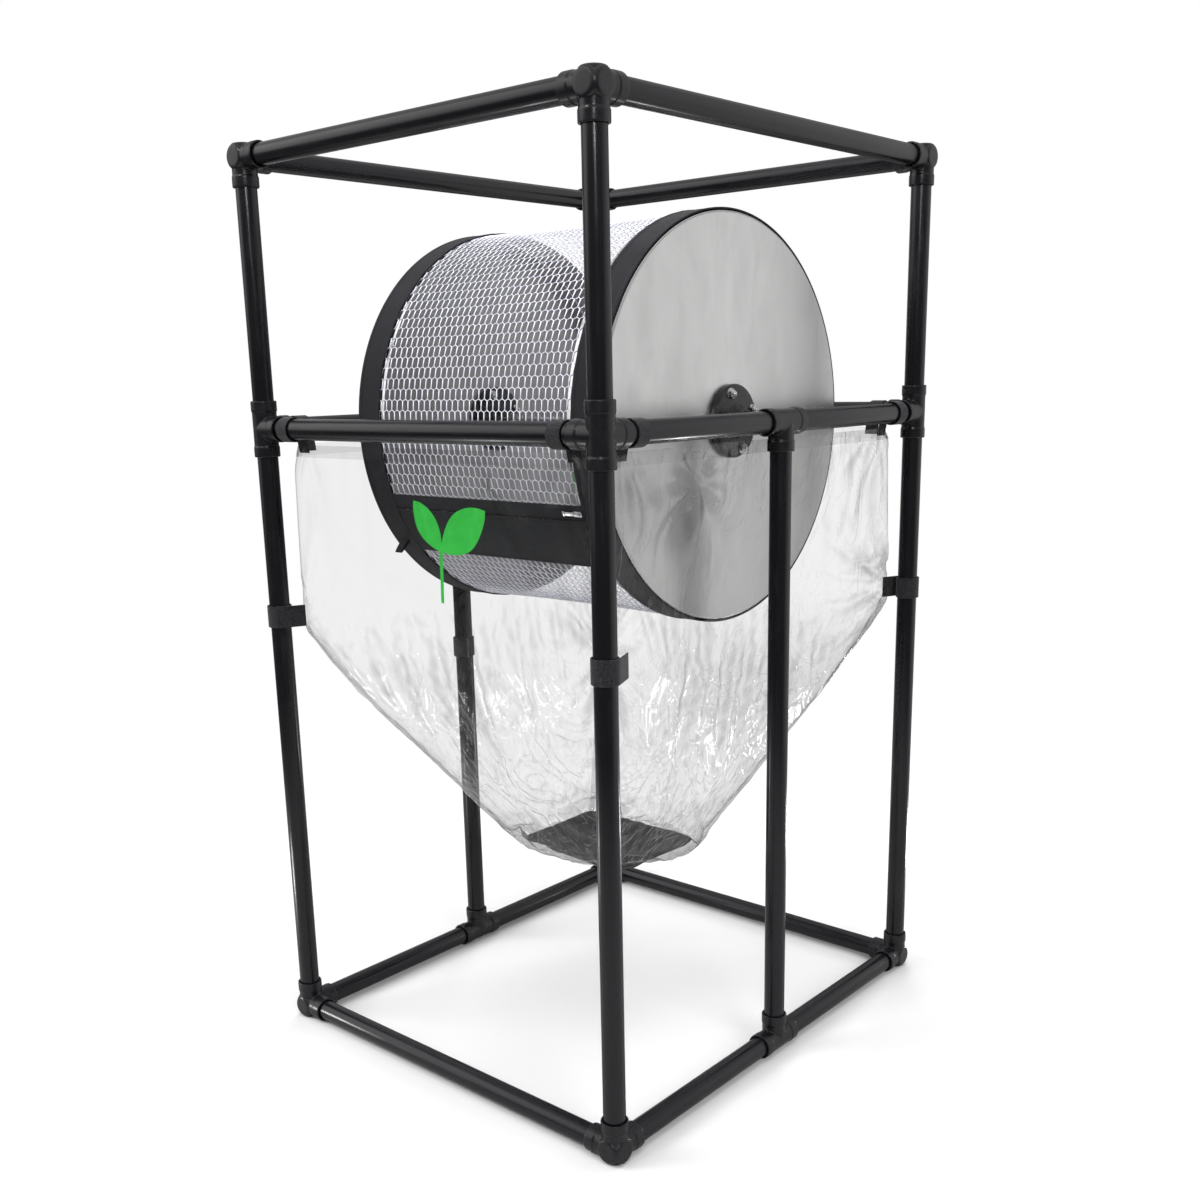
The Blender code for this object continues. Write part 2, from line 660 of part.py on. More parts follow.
clear_scene()
MODEL = collection("mesh_drum_tumbler")
HELPERS = collection("cutters", helper=True)
PIPE_BLACK = material("pipe_black", (0.018, 0.018, 0.022), 0.25)
FITTING_BLACK = material("fitting_black", (0.016, 0.016, 0.020), 0.35)
STEEL = material("brushed_steel", (0.55, 0.55, 0.56), 0.35, 1.0)
HUB_BLACK = material("hub_black", (0.02, 0.02, 0.02), 0.30)
BUSH_WHITE = material("bushing_plastic", (0.75, 0.75, 0.72), 0.45)
FABRIC = material("black_fabric", (0.012, 0.012, 0.016), 0.85)
NET = material("white_net", (0.80, 0.80, 0.86), 0.60)
ZIP_METAL = material("zip_metal", (0.60, 0.60, 0.62), 0.25, 1.0)
FILM = material("clear_film", (0.85, 0.86, 0.88), 0.12)
PANEL_GREY = material("bag_panel_grey", (0.10, 0.10, 0.105), 0.60)
build_frame()
build_drum()
build_bag()
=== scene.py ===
"""The looks of the mesh drum tumbler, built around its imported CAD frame.

Metres, +Z up, X along the drum's axis, -Y front. Pieces are made at rest, in the frame's own place,
so a mesh's own coordinates are the object's coordinates too.
"""

import math

import bmesh
import bpy
import numpy as np
from mathutils import Matrix, Vector, noise
from mathutils.bvhtree import BVHTree


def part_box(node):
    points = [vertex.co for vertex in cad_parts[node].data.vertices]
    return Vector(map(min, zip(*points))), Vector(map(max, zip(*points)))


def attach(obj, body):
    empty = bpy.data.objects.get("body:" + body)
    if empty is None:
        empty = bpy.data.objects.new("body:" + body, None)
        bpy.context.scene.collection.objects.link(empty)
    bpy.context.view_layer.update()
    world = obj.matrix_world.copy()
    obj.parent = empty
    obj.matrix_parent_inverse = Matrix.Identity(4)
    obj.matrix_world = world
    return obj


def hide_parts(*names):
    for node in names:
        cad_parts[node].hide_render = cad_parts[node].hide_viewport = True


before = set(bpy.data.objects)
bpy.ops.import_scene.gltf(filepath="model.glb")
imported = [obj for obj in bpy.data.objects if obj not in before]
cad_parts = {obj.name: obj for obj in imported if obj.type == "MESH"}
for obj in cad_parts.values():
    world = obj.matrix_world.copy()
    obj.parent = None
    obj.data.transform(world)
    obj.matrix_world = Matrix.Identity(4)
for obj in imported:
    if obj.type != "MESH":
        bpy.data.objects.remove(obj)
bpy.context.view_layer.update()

X, Y, Z = Vector((1, 0, 0)), Vector((0, 1, 0)), Vector((0, 0, 1))
SIDES = {"left": -1, "right": 1}
DEPTHS = {"front": -1, "back": 1}
CORNERS = [(depth, side) for depth in DEPTHS for side in SIDES]


# ---------------------------------------------------------------- places read from the frame


def centre_of(node):
    low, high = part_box(node)
    return (low + high) / 2


def half_of(node):
    low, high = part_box(node)
    return (high - low) / 2


POST_X = centre_of("centre_post_right").x
POST_Y = centre_of("mid_rail_back").y
BOTTOM_Z = centre_of("bottom_rail_front").z
MID_Z = centre_of("mid_rail_front").z
TOP_Z = centre_of("top_rail_front").z
LEVELS = {"bottom": BOTTOM_Z, "mid": MID_Z, "top": TOP_Z}
PIPE_FLATS = 12
PIPE_RADIUS = half_of("mid_rail_front").z / math.cos(math.pi / PIPE_FLATS)
PIPE_WALL = 0.0034
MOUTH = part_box("top_elbow_front_left")[1].x + POST_X

DRUM_FLATS = 32
PLATE_LOW, PLATE_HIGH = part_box("end_plate_right")
PAN_RADIUS = half_of("end_plate_right").z / math.cos(math.pi / DRUM_FLATS)
DRUM_X = (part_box("end_plate_left")[0].x + PLATE_HIGH.x) / 2
PAN_FACE = PLATE_HIGH.x - DRUM_X
PAN_LIP_END = PLATE_LOW.x - DRUM_X
BAND_INNER_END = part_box("rim_band_right")[0].x - DRUM_X
COVER_OUTER = half_of("rim_band_right").z / math.cos(math.pi / DRUM_FLATS)
COVER_INNER = COVER_OUTER - 0.0015
SLEEVE_OUTER = COVER_INNER - 0.0003
SLEEVE_INNER = SLEEVE_OUTER - 0.0012
SHEET_STEEL = 0.0015

# Angles on the front of the drum, in degrees below the horizontal
TAPE_ANGLES = (20.3, 24.6)
FLAP_ANGLES = (25.0, 41.0)
DOOR_ANGLES = (26.5, 39.5)
DOOR_HALF = 0.195
COVER_HALF = half_of("door_flap").x

OUTLET_X, OUTLET_Y = 0.125, 0.095
BAG_INSET = 0.0230
BAG_X, BAG_Y = POST_X - BAG_INSET, POST_Y - BAG_INSET
BAG_TOP = MID_Z - 0.026
STRAP_Z = BOTTOM_Z + 0.710
CENTRE_STRAP_Z = BOTTOM_Z + 0.587
OUTLET_Z = BOTTOM_Z + 0.276
STRAP_WIDTH = 0.036
WALL_END = STRAP_Z - 0.024
RAIL_TAB_OFFSET = 0.067

# The bag's mesh: its girth in texture space, and the name of the layer that says how steep its folds are,
# which the film's finish turns into painted shade
UV_GIRTH = 2.9
SHADE_SLOPE_LAYER = "crease"


# ---------------------------------------------------------------- mesh helpers


# How many steps round a fillet, the most of a straight that it takes, and a strap's widest edge
FILLET_STEPS = 4
FILLET_SHARE = 0.48
STRAP_EDGE = 0.0006


def on_axis(axis, place=(0, 0, 0)):
    """The matrix that takes +Z to an axis, and the origin to a place."""
    turn = Z.rotation_difference(Vector(axis)).to_matrix().to_4x4()
    return Matrix.Translation(place) @ turn


def opened(*meshes):
    """A bmesh that holds the meshes, each still its own shell."""
    bm = bmesh.new()
    for mesh in meshes:
        bm.from_mesh(mesh)
    bm.verts.ensure_lookup_table()
    return bm


def closed(bm, name, outward=False):
    """The bmesh as a mesh, with its normals turned out if asked."""
    if outward:
        bmesh.ops.recalc_face_normals(bm, faces=bm.faces)
    mesh = bpy.data.meshes.new(name)
    bm.to_mesh(mesh)
    bm.free()
    return mesh


def tidied(mesh, merge=1e-6):
    """The mesh with touching points made one and its normals turned out."""
    bm = opened(mesh)
    bmesh.ops.remove_doubles(bm, verts=bm.verts, dist=merge)
    return closed(bm, mesh.name, outward=True)


def joined(name, meshes):
    return closed(opened(*meshes), name)


def quad_corners(rows, cols, across):
    """The points at each quad's corners. rows and cols each say where the quads start and end."""
    (row, next_row), (col, next_col) = rows, cols
    corners = ((row, col), (row, next_col), (next_row, next_col), (next_row, col))
    return np.stack(np.broadcast_arrays(*(r * across + c for r, c in corners)), axis=-1).reshape(-1, 4)


def grid_mesh(name, points, uv=None, wrap_rows=False, wrap_cols=False):
    """Quads through a rows x cols array of points. uv has one more row or column where the grid wraps."""
    rows, cols = points.shape[:2]
    row = np.arange(rows if wrap_rows else rows - 1)[:, None]
    col = np.arange(cols if wrap_cols else cols - 1)[None, :]
    faces = quad_corners((row, (row + 1) % rows), (col, (col + 1) % cols), cols)
    mesh = bpy.data.meshes.new(name)
    mesh.from_pydata(points.reshape(-1, 3).tolist(), [], faces.tolist())
    if uv is not None:
        picked = quad_corners((row, row + 1), (col, col + 1), uv.shape[1]).ravel()
        layer = mesh.uv_layers.new(name="metres")
        layer.data.foreach_set("uv", uv.reshape(-1, 2)[picked].astype(np.float32).ravel())
    return mesh


def filleted(profile):
    """A polyline of (radius, height, fillet) points with each corner rounded by its fillet."""
    made = []
    for index, (r, z, fillet) in enumerate(profile):
        here = Vector((r, z))
        if not fillet or index in (0, len(profile) - 1):
            made.append(here)
            continue
        before = Vector(profile[index - 1][:2]) - here
        after = Vector(profile[index + 1][:2]) - here
        start = here + before.normalized() * min(fillet, FILLET_SHARE * before.length)
        end = here + after.normalized() * min(fillet, FILLET_SHARE * after.length)
        for step in range(FILLET_STEPS + 1):
            t = step / FILLET_STEPS
            made.append(start * (1 - t) ** 2 + here * 2 * t * (1 - t) + end * t**2)
    return [(point.x, point.y) for point in made]


def length_along(points):
    """How far along a polyline each of its points is."""
    return np.concatenate([[0], np.cumsum(np.linalg.norm(np.diff(points, axis=0), axis=1))])


def lathe(name, profile, matrix, sides=64, loop=False, wobble=None):
    """A turned mesh about +Z of the matrix. wobble moves a point by its angle, radius and height."""
    rounded = np.array(filleted(profile))
    angles = np.linspace(0, 2 * math.pi, sides, endpoint=False)
    radius = np.repeat(rounded[:, :1], sides, axis=1)
    height = np.repeat(rounded[:, 1:], sides, axis=1)
    if wobble:
        radius, height = wobble(angles[None, :], radius, height)
    points = np.stack([radius * np.cos(angles), radius * np.sin(angles), height], axis=-1)
    closing = rounded[:1] if loop else rounded[:0]
    along = length_along(np.vstack([rounded, closing]))
    around = np.linspace(0, 2 * math.pi * rounded[:, 0].max(), sides + 1)
    uv = np.stack(np.meshgrid(around, along), axis=-1)
    mesh = grid_mesh(name, points, uv, wrap_rows=loop, wrap_cols=True)
    mesh.transform(matrix)
    return tidied(mesh)


def piece(name, mesh, finish, body, replaces=(), sharp=38):
    """An object of the model that rides on a body and may stand for CAD nodes."""
    mesh.materials.clear()
    mesh.materials.append(finish)
    mesh.shade_smooth()
    mesh.set_sharp_from_angle(angle=math.radians(sharp))
    obj = bpy.data.objects.new(name, mesh)
    bpy.context.scene.collection.objects.link(obj)
    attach(obj, body)
    if replaces:
        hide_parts(*replaces)
    return obj


def modified(mesh, *modifiers):
    """The mesh after some modifiers, each given as its type and its settings."""
    obj = bpy.data.objects.new("work", mesh)
    bpy.context.scene.collection.objects.link(obj)
    for kind, settings in modifiers:
        modifier = obj.modifiers.new(kind, kind)
        for key, value in settings.items():
            setattr(modifier, key, value)
    bpy.context.view_layer.update()
    graph = bpy.context.evaluated_depsgraph_get()
    made = bpy.data.meshes.new_from_object(obj.evaluated_get(graph))
    bpy.data.objects.remove(obj, do_unlink=True)
    return made


def thickened(mesh, thickness):
    return modified(mesh, ("SOLIDIFY", {"thickness": thickness, "offset": 0}))


def rounded_boxes(name, boxes, edge, steps):
    """Boxes with rounded edges as one mesh, each given as its size and the matrix that places it."""
    bm = bmesh.new()
    for size, matrix in boxes:
        made = bmesh.ops.create_cube(bm, size=1.0)["verts"]
        bmesh.ops.scale(bm, vec=size, verts=made)
        bmesh.ops.transform(bm, matrix=matrix, verts=made)
    return modified(closed(bm, name), ("BEVEL", {"width": edge, "segments": steps}))


def strip(name, path, normals, across, width, thickness):
    """A flat strap along a path, with soft edges. across is the direction of its width."""
    path, normals, across = (np.array(values, float) for values in (path, normals, across))
    edge = min(0.3 * thickness, STRAP_EDGE)
    half, deep = width / 2, thickness / 2
    lower = [(-half, -deep + edge), (-half + edge, -deep), (half - edge, -deep), (half, -deep + edge)]
    section = np.array(lower + [(-x, -y) for x, y in lower])
    points = path[:, None] + section[None, :, :1] * across + section[None, :, 1:] * normals[:, None]
    girth = length_along(np.concatenate([section, section[:1]]))
    uv = np.stack(np.meshgrid(girth, length_along(path)), axis=-1)
    bm = opened(grid_mesh(name, points, uv, wrap_cols=True))
    count = len(section)
    for cap in (range(count), range(len(bm.verts) - 1, len(bm.verts) - 1 - count, -1)):
        bm.faces.new([bm.verts[i] for i in cap])
    return closed(bm, name, outward=True)


def on_drum(angle, radius, x=0.0):
    """A point on the front of the drum, an angle in degrees below the horizontal."""
    turn = math.radians(angle)
    return Vector((DRUM_X + x, -radius * math.cos(turn), MID_Z - radius * math.sin(turn)))


def drum_turn(angle):
    """The rotation that makes +Z point out of the drum at an angle below the horizontal."""
    return Matrix.Rotation(math.radians(90 + angle), 4, "X")


# ---------------------------------------------------------------- materials


def add(tree, kind, inputs=None, **settings):
    """A shader node with its settings, and its inputs by name or by number as values or sockets."""
    made = tree.nodes.new("ShaderNode" + kind)
    for key, value in settings.items():
        setattr(made, key, value)
    for key, value in (inputs or {}).items():
        socket = made.inputs[key]
        if isinstance(value, bpy.types.NodeSocket):
            tree.links.new(value, socket)
        else:
            socket.default_value = value
    return made


def new_material(name, colour, roughness, metallic=0.0, **more):
    """A material with a Principled shader. Returns the material, its tree and the shader."""
    made = bpy.data.materials.new(name)
    made.use_nodes = True
    shader = made.node_tree.nodes["Principled BSDF"]
    shader.inputs["Base Color"].default_value = (*colour, 1)
    shader.inputs["Roughness"].default_value = roughness
    shader.inputs["Metallic"].default_value = metallic
    for key, value in more.items():
        shader.inputs[key.replace("_", " ")].default_value = value
    return made, made.node_tree, shader


def coordinates(tree, scale=(1, 1, 1), source="Object"):
    """The texture coordinates, in metres times a scale."""
    source = add(tree, "TexCoord").outputs[source]
    return add(tree, "Mapping", {"Vector": source, "Scale": scale}).outputs[0]


def parts_of(tree, vector):
    return add(tree, "SeparateXYZ", {0: vector}).outputs


def across_of(tree):
    """How far along +X of the object a point is."""
    return parts_of(tree, add(tree, "TexCoord").outputs["Object"])[0]


def noise_of(tree, vector, scale, detail=3.0, rough=0.5, distortion=0.0):
    inputs = {"Vector": vector, "Scale": scale, "Detail": detail, "Roughness": rough}
    inputs["Distortion"] = distortion
    return add(tree, "TexNoise", inputs).outputs["Fac"]


def ramp(tree, value, low, high, low_out=0.0, high_out=1.0):
    """The value moved from one range to another, and held at its ends."""
    inputs = {"Value": value, 1: low, 2: high, 3: low_out, 4: high_out}
    return add(tree, "MapRange", inputs).outputs[0]


def maths(tree, operation, first, second=0.0):
    return add(tree, "Math", {0: first, 1: second}, operation=operation).outputs[0]


def times(tree, first, second):
    return maths(tree, "MULTIPLY", first, second)


def plus(tree, first, second):
    return maths(tree, "ADD", first, second)


def apart(tree, value, middle):
    """How far a value is from a middle, either way."""
    return maths(tree, "ABSOLUTE", maths(tree, "SUBTRACT", value, middle))


def blend_colour(tree, value, low, high):
    """A colour between two, by a value from 0 to 1."""
    made = add(tree, "Mix", {0: value, 6: (*low, 1), 7: (*high, 1)}, data_type="RGBA")
    return made.outputs[2]


def paint(tree, shader, value, low, high):
    tree.links.new(blend_colour(tree, value, low, high), shader.inputs["Base Color"])


def polish(tree, shader, *value_and_ranges):
    """Sets the shader's roughness by a ramp."""
    tree.links.new(ramp(tree, *value_and_ranges), shader.inputs["Roughness"])


def bump(tree, shader, height, distance):
    made = add(tree, "Bump", {"Height": height, "Distance": distance, "Strength": 1.0})
    tree.links.new(made.outputs[0], shader.inputs["Normal"])


def pipe_finish():
    """Glossy extruded plastic with faint scuffs along its length."""
    made, tree, shader = new_material("pipe_black", (0.004, 0.004, 0.006), 0.2)
    scuffs = noise_of(tree, coordinates(tree, (260, 14, 1), "UV"), 1.0, 4.0, 0.6)
    smudge = noise_of(tree, coordinates(tree), 9.0)
    wear = times(tree, scuffs, smudge)
    polish(tree, shader, wear, 0.12, 0.42, 0.16, 0.34)
    paint(tree, shader, ramp(tree, wear, 0.3, 0.5), (0.0035, 0.0035, 0.0050), (0.009, 0.009, 0.011))
    bump(tree, shader, scuffs, 0.00004)
    return made


def fitting_finish():
    """Moulded plastic, a little duller than the pipe, with a fine moulding grain."""
    made, tree, shader = new_material("fitting_black", (0.004, 0.004, 0.005), 0.3)
    grain = noise_of(tree, coordinates(tree), 1600.0, 2.0)
    cloud = noise_of(tree, coordinates(tree), 40.0)
    polish(tree, shader, cloud, 0.3, 0.7, 0.20, 0.36)
    paint(tree, shader, ramp(tree, cloud, 0.35, 0.8), (0.0035, 0.0035, 0.0045), (0.008, 0.008, 0.010))
    bump(tree, shader, grain, 0.00003)
    return made


def steel_finish():
    """Sheet steel with a fine vertical grain, faint smears and soft patches, and painted shade that darkens
    the pan's inner faces inside the drum.
    """
    made, tree, shader = new_material("brushed_steel", (0.60, 0.60, 0.60), 0.34, 1.0)
    grain = noise_of(tree, coordinates(tree, (40, 1500, 22)), 1.0, 3.0, 0.6)
    patches = noise_of(tree, coordinates(tree, (1, 1, 0.6)), 5.5, 2.0)
    smears = noise_of(tree, coordinates(tree, (1, 9, 4)), 3.0, 4.0, 0.6, 0.8)
    tone = plus(tree, times(tree, grain, 0.35), times(tree, patches, 0.65))
    colour = blend_colour(tree, ramp(tree, tone, 0.3, 0.7), (0.74, 0.74, 0.735), (0.88, 0.88, 0.875))
    outside = ramp(tree, apart(tree, across_of(tree), DRUM_X), PAN_FACE - 0.0015, PAN_FACE - 0.0005)
    flat = parts_of(tree, add(tree, "NewGeometry").outputs["True Normal"])[0]
    flat = ramp(tree, maths(tree, "ABSOLUTE", flat), 0.8, 0.95)
    inside = times(tree, flat, maths(tree, "SUBTRACT", 1.0, outside))
    # painted shade: the pan's faces inside the drum are mixed toward near-black, standing in for the shade
    # inside the drum
    inside_shade = {0: times(tree, inside, 0.60), 6: colour, 7: (0.10, 0.10, 0.11, 1)}
    tree.links.new(add(tree, "Mix", inside_shade, data_type="RGBA").outputs[2], shader.inputs["Base Color"])
    on_lip = ramp(tree, flat, 0, 1, 0.6, 1.0)
    roughness = times(tree, ramp(tree, smears, 0.35, 0.75, 0.30, 0.44), on_lip)
    tree.links.new(roughness, shader.inputs["Roughness"])
    bump(tree, shader, grain, 0.00003)
    return made


def shaft_finish():
    """Ground round bar, with turning marks round it."""
    made, tree, shader = new_material("shaft_steel", (0.74, 0.74, 0.75), 0.22, 1.0)
    marks = noise_of(tree, coordinates(tree, (2400, 30, 30)), 1.0, 2.0)
    polish(tree, shader, marks, 0.3, 0.7, 0.16, 0.30)
    bump(tree, shader, marks, 0.00002)
    return made


def hub_finish():
    """Black moulded hub, glossy and lightly dusted."""
    made, tree, shader = new_material("hub_black", (0.016, 0.016, 0.016), 0.22)
    dust = noise_of(tree, coordinates(tree), 90.0, 5.0, 0.65)
    paint(tree, shader, ramp(tree, dust, 0.5, 0.8), (0.005, 0.005, 0.005), (0.03, 0.03, 0.03))
    polish(tree, shader, dust, 0.35, 0.75, 0.16, 0.40)
    bump(tree, shader, dust, 0.00005)
    return made


def zinc_finish():
    """Bright plated metal with small tone changes."""
    made, tree, shader = new_material("zinc", (0.80, 0.80, 0.81), 0.18, 1.0)
    cloud = noise_of(tree, coordinates(tree), 260.0)
    paint(tree, shader, cloud, (0.64, 0.64, 0.66), (0.88, 0.88, 0.89))
    polish(tree, shader, cloud, 0.3, 0.7, 0.12, 0.30)
    return made


def bushing_finish():
    made, tree, shader = new_material("bushing_plastic", (0.80, 0.79, 0.76), 0.42)
    cloud = noise_of(tree, coordinates(tree), 300.0)
    paint(tree, shader, cloud, (0.68, 0.67, 0.63), (0.84, 0.83, 0.80))
    bump(tree, shader, cloud, 0.00004)
    return made


def woven(tree, thread):
    """The height of a plain weave whose threads are this far apart, in metres."""
    parts = parts_of(tree, add(tree, "TexCoord").outputs["UV"])
    waves = [maths(tree, "SINE", times(tree, parts[k], math.pi / thread)) for k in (0, 1)]
    return ramp(tree, times(tree, *waves), -0.6, 0.6)


def fabric_finish(name, dark, light, sheen, thread=0.0011, rough=0.82):
    """Woven synthetic cloth with lint and tone changes between its threads."""
    made, tree, shader = new_material(name, dark, rough, Sheen_Weight=sheen, Sheen_Roughness=0.45)
    weave = woven(tree, thread)
    lint = noise_of(tree, coordinates(tree), 420.0, 3.0, 0.7)
    folds = noise_of(tree, coordinates(tree), 14.0)
    tone = plus(tree, times(tree, weave, 0.5), times(tree, folds, 0.5))
    tone = plus(tree, tone, times(tree, ramp(tree, lint, 0.66, 0.8), 0.5))
    paint(tree, shader, tone, dark, light)
    bump(tree, shader, plus(tree, weave, lint), 0.00018)
    return made


def loop_tape_finish():
    """Black hook and loop tape: a matt pile of small loops."""
    made, tree, shader = new_material(
        "loop_tape", (0.012, 0.012, 0.014), 0.92, Sheen_Weight=0.15, Sheen_Roughness=0.4
    )
    pile = add(tree, "TexVoronoi", {"Vector": coordinates(tree), "Scale": 620.0})
    tufts = noise_of(tree, coordinates(tree), 260.0, 4.0, 0.7)
    tone = times(tree, ramp(tree, pile.outputs["Distance"], 0.1, 0.7, 1.0, 0.25), tufts)
    paint(tree, shader, ramp(tree, tone, 0.1, 0.6), (0.004, 0.004, 0.005), (0.040, 0.040, 0.044))
    bump(tree, shader, tone, 0.0005)
    return made


def net_finish():
    """White knitted polyester with a cool tone and a little soil."""
    made, tree, shader = new_material(
        "white_net", (0.80, 0.80, 0.88), 0.45, Sheen_Weight=0.2, Sheen_Roughness=0.5
    )
    knit = noise_of(tree, coordinates(tree, (900, 900, 900)), 1.0, 2.0)
    soil = noise_of(tree, coordinates(tree), 22.0)
    tone = plus(tree, times(tree, knit, 0.5), times(tree, soil, 0.5))
    paint(tree, shader, ramp(tree, tone, 0.3, 0.7), (0.66, 0.66, 0.76), (0.88, 0.88, 0.95))
    bump(tree, shader, knit, 0.0002)
    return made


# How much of the view the film lets through, clean and where darkened at grazing angles and by painted
# shade in its folds, and its least reflection
FILM_CLEAR = (0.955, 0.955, 0.955)
FILM_GRAZING_AND_SHADE = (0.66, 0.66, 0.665)
FILM_HAZE = 0.022


def film_folds(tree):
    """The film's creases, as where their milky lines are, the height of the surface, and the painted shade
    that darkens what shows through the folds.

    Long folds run down the sheet. Crossing wrinkles and painted shade are mostly below the straps, to the
    right, where the film is crumpled into the funnel; painted shade also follows the steep slopes of the
    folds.
    """
    around, down, _ = parts_of(tree, add(tree, "TexCoord").outputs["UV"])
    lean = plus(tree, around, times(tree, down, 0.60))
    slanted = add(tree, "CombineXYZ", {0: times(tree, lean, 46.0), 1: times(tree, down, 9.0)})
    long_folds = noise_of(tree, slanted.outputs[0], 1.0, 4.0, 0.55, 0.6)
    fine = noise_of(tree, coordinates(tree), 55.0, 4.0, 0.6, 1.2)
    to_right = across_of(tree)
    low = ramp(tree, down, 0.28, 0.46, 0.10, 1.0)
    low = times(tree, low, ramp(tree, to_right, -0.24, 0.0, 0.35, 1.0))
    crumpled = maths(tree, "MAXIMUM", low, ramp(tree, to_right, 0.27, 0.33, 0.0, 0.5))
    wrinkle = apart(tree, noise_of(tree, coordinates(tree, (1, 1, 0.55)), 8.5, 3.0, 0.55, 2.6), 0.5)
    wrinkle_line = times(tree, ramp(tree, wrinkle, 0.0, 0.008, 1.0, 0.0), ramp(tree, fine, 0.42, 0.55))
    wrinkle_line = times(tree, wrinkle_line, crumpled)
    wrinkle_shade = times(tree, ramp(tree, wrinkle, 0.008, 0.022, 1.0, 0.0), crumpled)
    lines = ramp(tree, apart(tree, long_folds, 0.5), 0.0, 0.014, 1.0, 0.0)
    lines = times(tree, lines, ramp(tree, fine, 0.46, 0.62))
    lines = maths(tree, "MAXIMUM", times(tree, lines, low), wrinkle_line)
    height = plus(tree, long_folds, times(tree, fine, 0.35))
    height = maths(tree, "SUBTRACT", height, times(tree, ramp(tree, wrinkle, 0.0, 0.05), 0.5))
    height = times(tree, height, crumpled)
    # painted shade: darkening patches in the funnel, darkening where the folds are steep and darkening
    # beside the crossing wrinkles stand in for shade in the crumpled film
    patches = noise_of(tree, coordinates(tree, (1, 1, 0.6)), 16.0, 3.0, 0.6, 0.8)
    painted_shade = times(tree, ramp(tree, patches, 0.40, 0.60, 0.7, 1.0), ramp(tree, low, 0.15, 1.0, 0.0, 0.50))
    slope = add(tree, "Attribute", attribute_name=SHADE_SLOPE_LAYER).outputs["Fac"]
    painted_shade = plus(tree, painted_shade, ramp(tree, slope, 0.10, 0.40, 0.0, 0.85))
    painted_shade = plus(tree, painted_shade, times(tree, wrinkle_shade, 0.35))
    return lines, height, painted_shade


def film_finish(name, crease=1.0):
    """Clear vinyl sheet: see-through, glossy on both sides, milky along its creases, and darkened by
    painted shade in its folds.
    """
    made = bpy.data.materials.new(name)
    made.use_nodes = True
    tree = made.node_tree
    tree.nodes.remove(tree.nodes["Principled BSDF"])
    lines, height, painted_shade = film_folds(tree)
    bent = add(tree, "Bump", {"Height": height, "Distance": 0.004 * crease, "Strength": 0.6}).outputs[0]
    facing = add(tree, "LayerWeight", {"Blend": 0.5, "Normal": bent}).outputs["Facing"]
    # painted shade: what shows through is darkened by the painted shade in the folds, as well as at grazing
    # angles
    dark = maths(tree, "MAXIMUM", maths(tree, "POWER", facing, 3.0), painted_shade)
    clear = add(tree, "BsdfTransparent", {"Color": blend_colour(tree, dark, FILM_CLEAR, FILM_GRAZING_AND_SHADE)})
    gloss = add(tree, "BsdfGlossy", {"Color": (1, 1, 1, 1), "Roughness": 0.07, "Normal": bent})
    cloudy = add(tree, "BsdfTranslucent", {"Color": (0.93, 0.93, 0.94, 1)})
    shine = ramp(tree, maths(tree, "POWER", facing, 5.0), 0.0, 1.0, FILM_HAZE, 1.0)
    film = add(tree, "MixShader", {0: shine, 1: clear.outputs[0], 2: gloss.outputs[0]})
    milky = times(tree, lines, 0.20 * crease)
    film = add(tree, "MixShader", {0: milky, 1: film.outputs[0], 2: cloudy.outputs[0]})
    tree.links.new(film.outputs[0], tree.nodes["Material Output"].inputs["Surface"])
    return made


def print_finish():
    """Green ink on the film, with small tone changes."""
    made, tree, shader = new_material("print_green", (0.03, 0.42, 0.05), 0.35)
    cloud = noise_of(tree, coordinates(tree), 60.0, 4.0)
    paint(tree, shader, cloud, (0.015, 0.30, 0.03), (0.04, 0.44, 0.06))
    bump(tree, shader, cloud, 0.0001)
    return made


FLOOR_SOLID, FLOOR_RADIUS = 1.2, 2.6


def floor_finish():
    """A pale floor, dimmer in reflections, that fades out to the studio's white round the object."""
    made, tree, shader = new_material("floor_white", (0.62, 0.62, 0.62), 0.75)
    mirrored = add(tree, "LightPath").outputs["Is Glossy Ray"]
    paint(tree, shader, mirrored, (0.62, 0.62, 0.62), (0.30, 0.30, 0.30))
    place = add(tree, "TexCoord").outputs["Object"]
    far = add(tree, "VectorMath", {0: place}, operation="LENGTH").outputs["Value"]
    tree.links.new(ramp(tree, far, FLOOR_SOLID, FLOOR_RADIUS, 1.0, 0.0), shader.inputs["Alpha"])
    return made


PIPE_BLACK = pipe_finish()
FITTING_BLACK = fitting_finish()
STEEL = steel_finish()
SHAFT = shaft_finish()
HUB_BLACK = hub_finish()
ZINC = zinc_finish()
BUSHING = bushing_finish()
FABRIC = fabric_finish("black_fabric", (0.003, 0.003, 0.004), (0.012, 0.012, 0.017), sheen=0.06)
PANEL = fabric_finish("bag_panel_grey", (0.012, 0.012, 0.013), (0.030, 0.030, 0.032), sheen=0.05, rough=0.7)
THREAD = fabric_finish("thread_black", (0.006, 0.006, 0.008), (0.03, 0.03, 0.034), thread=0.0004, sheen=0.1)
LOOP_TAPE = loop_tape_finish()
NET = net_finish()
FILM = film_finish("clear_film")
FILM_DOUBLE = film_finish("clear_film_double", crease=0.6)
PRINT = print_finish()


# ---------------------------------------------------------------- frame


FITTING_RADIUS = 0.0206
CORE_RADIUS = 0.0195
COLLAR_LENGTH = 0.016
FITTING_VOXEL = 0.0008
ARM_START = 0.023
SOCKET_PLAY = 0.0007
PIPE_EDGE = 0.0008
BUSH_BORE, BUSH_RADIUS, BUSH_RIM = 0.0085, 0.0125, 0.0168
BUSH_RIM_WIDTH = 0.003


def place_of(node):
    """The centre of a fitting, from its name."""
    side = SIDES["left" if "left" in node else "right"]
    depth = 0 if "tee" in node else DEPTHS["front" if "front" in node else "back"]
    return Vector((side * POST_X, depth * POST_Y, LEVELS[node.split("_")[0]]))


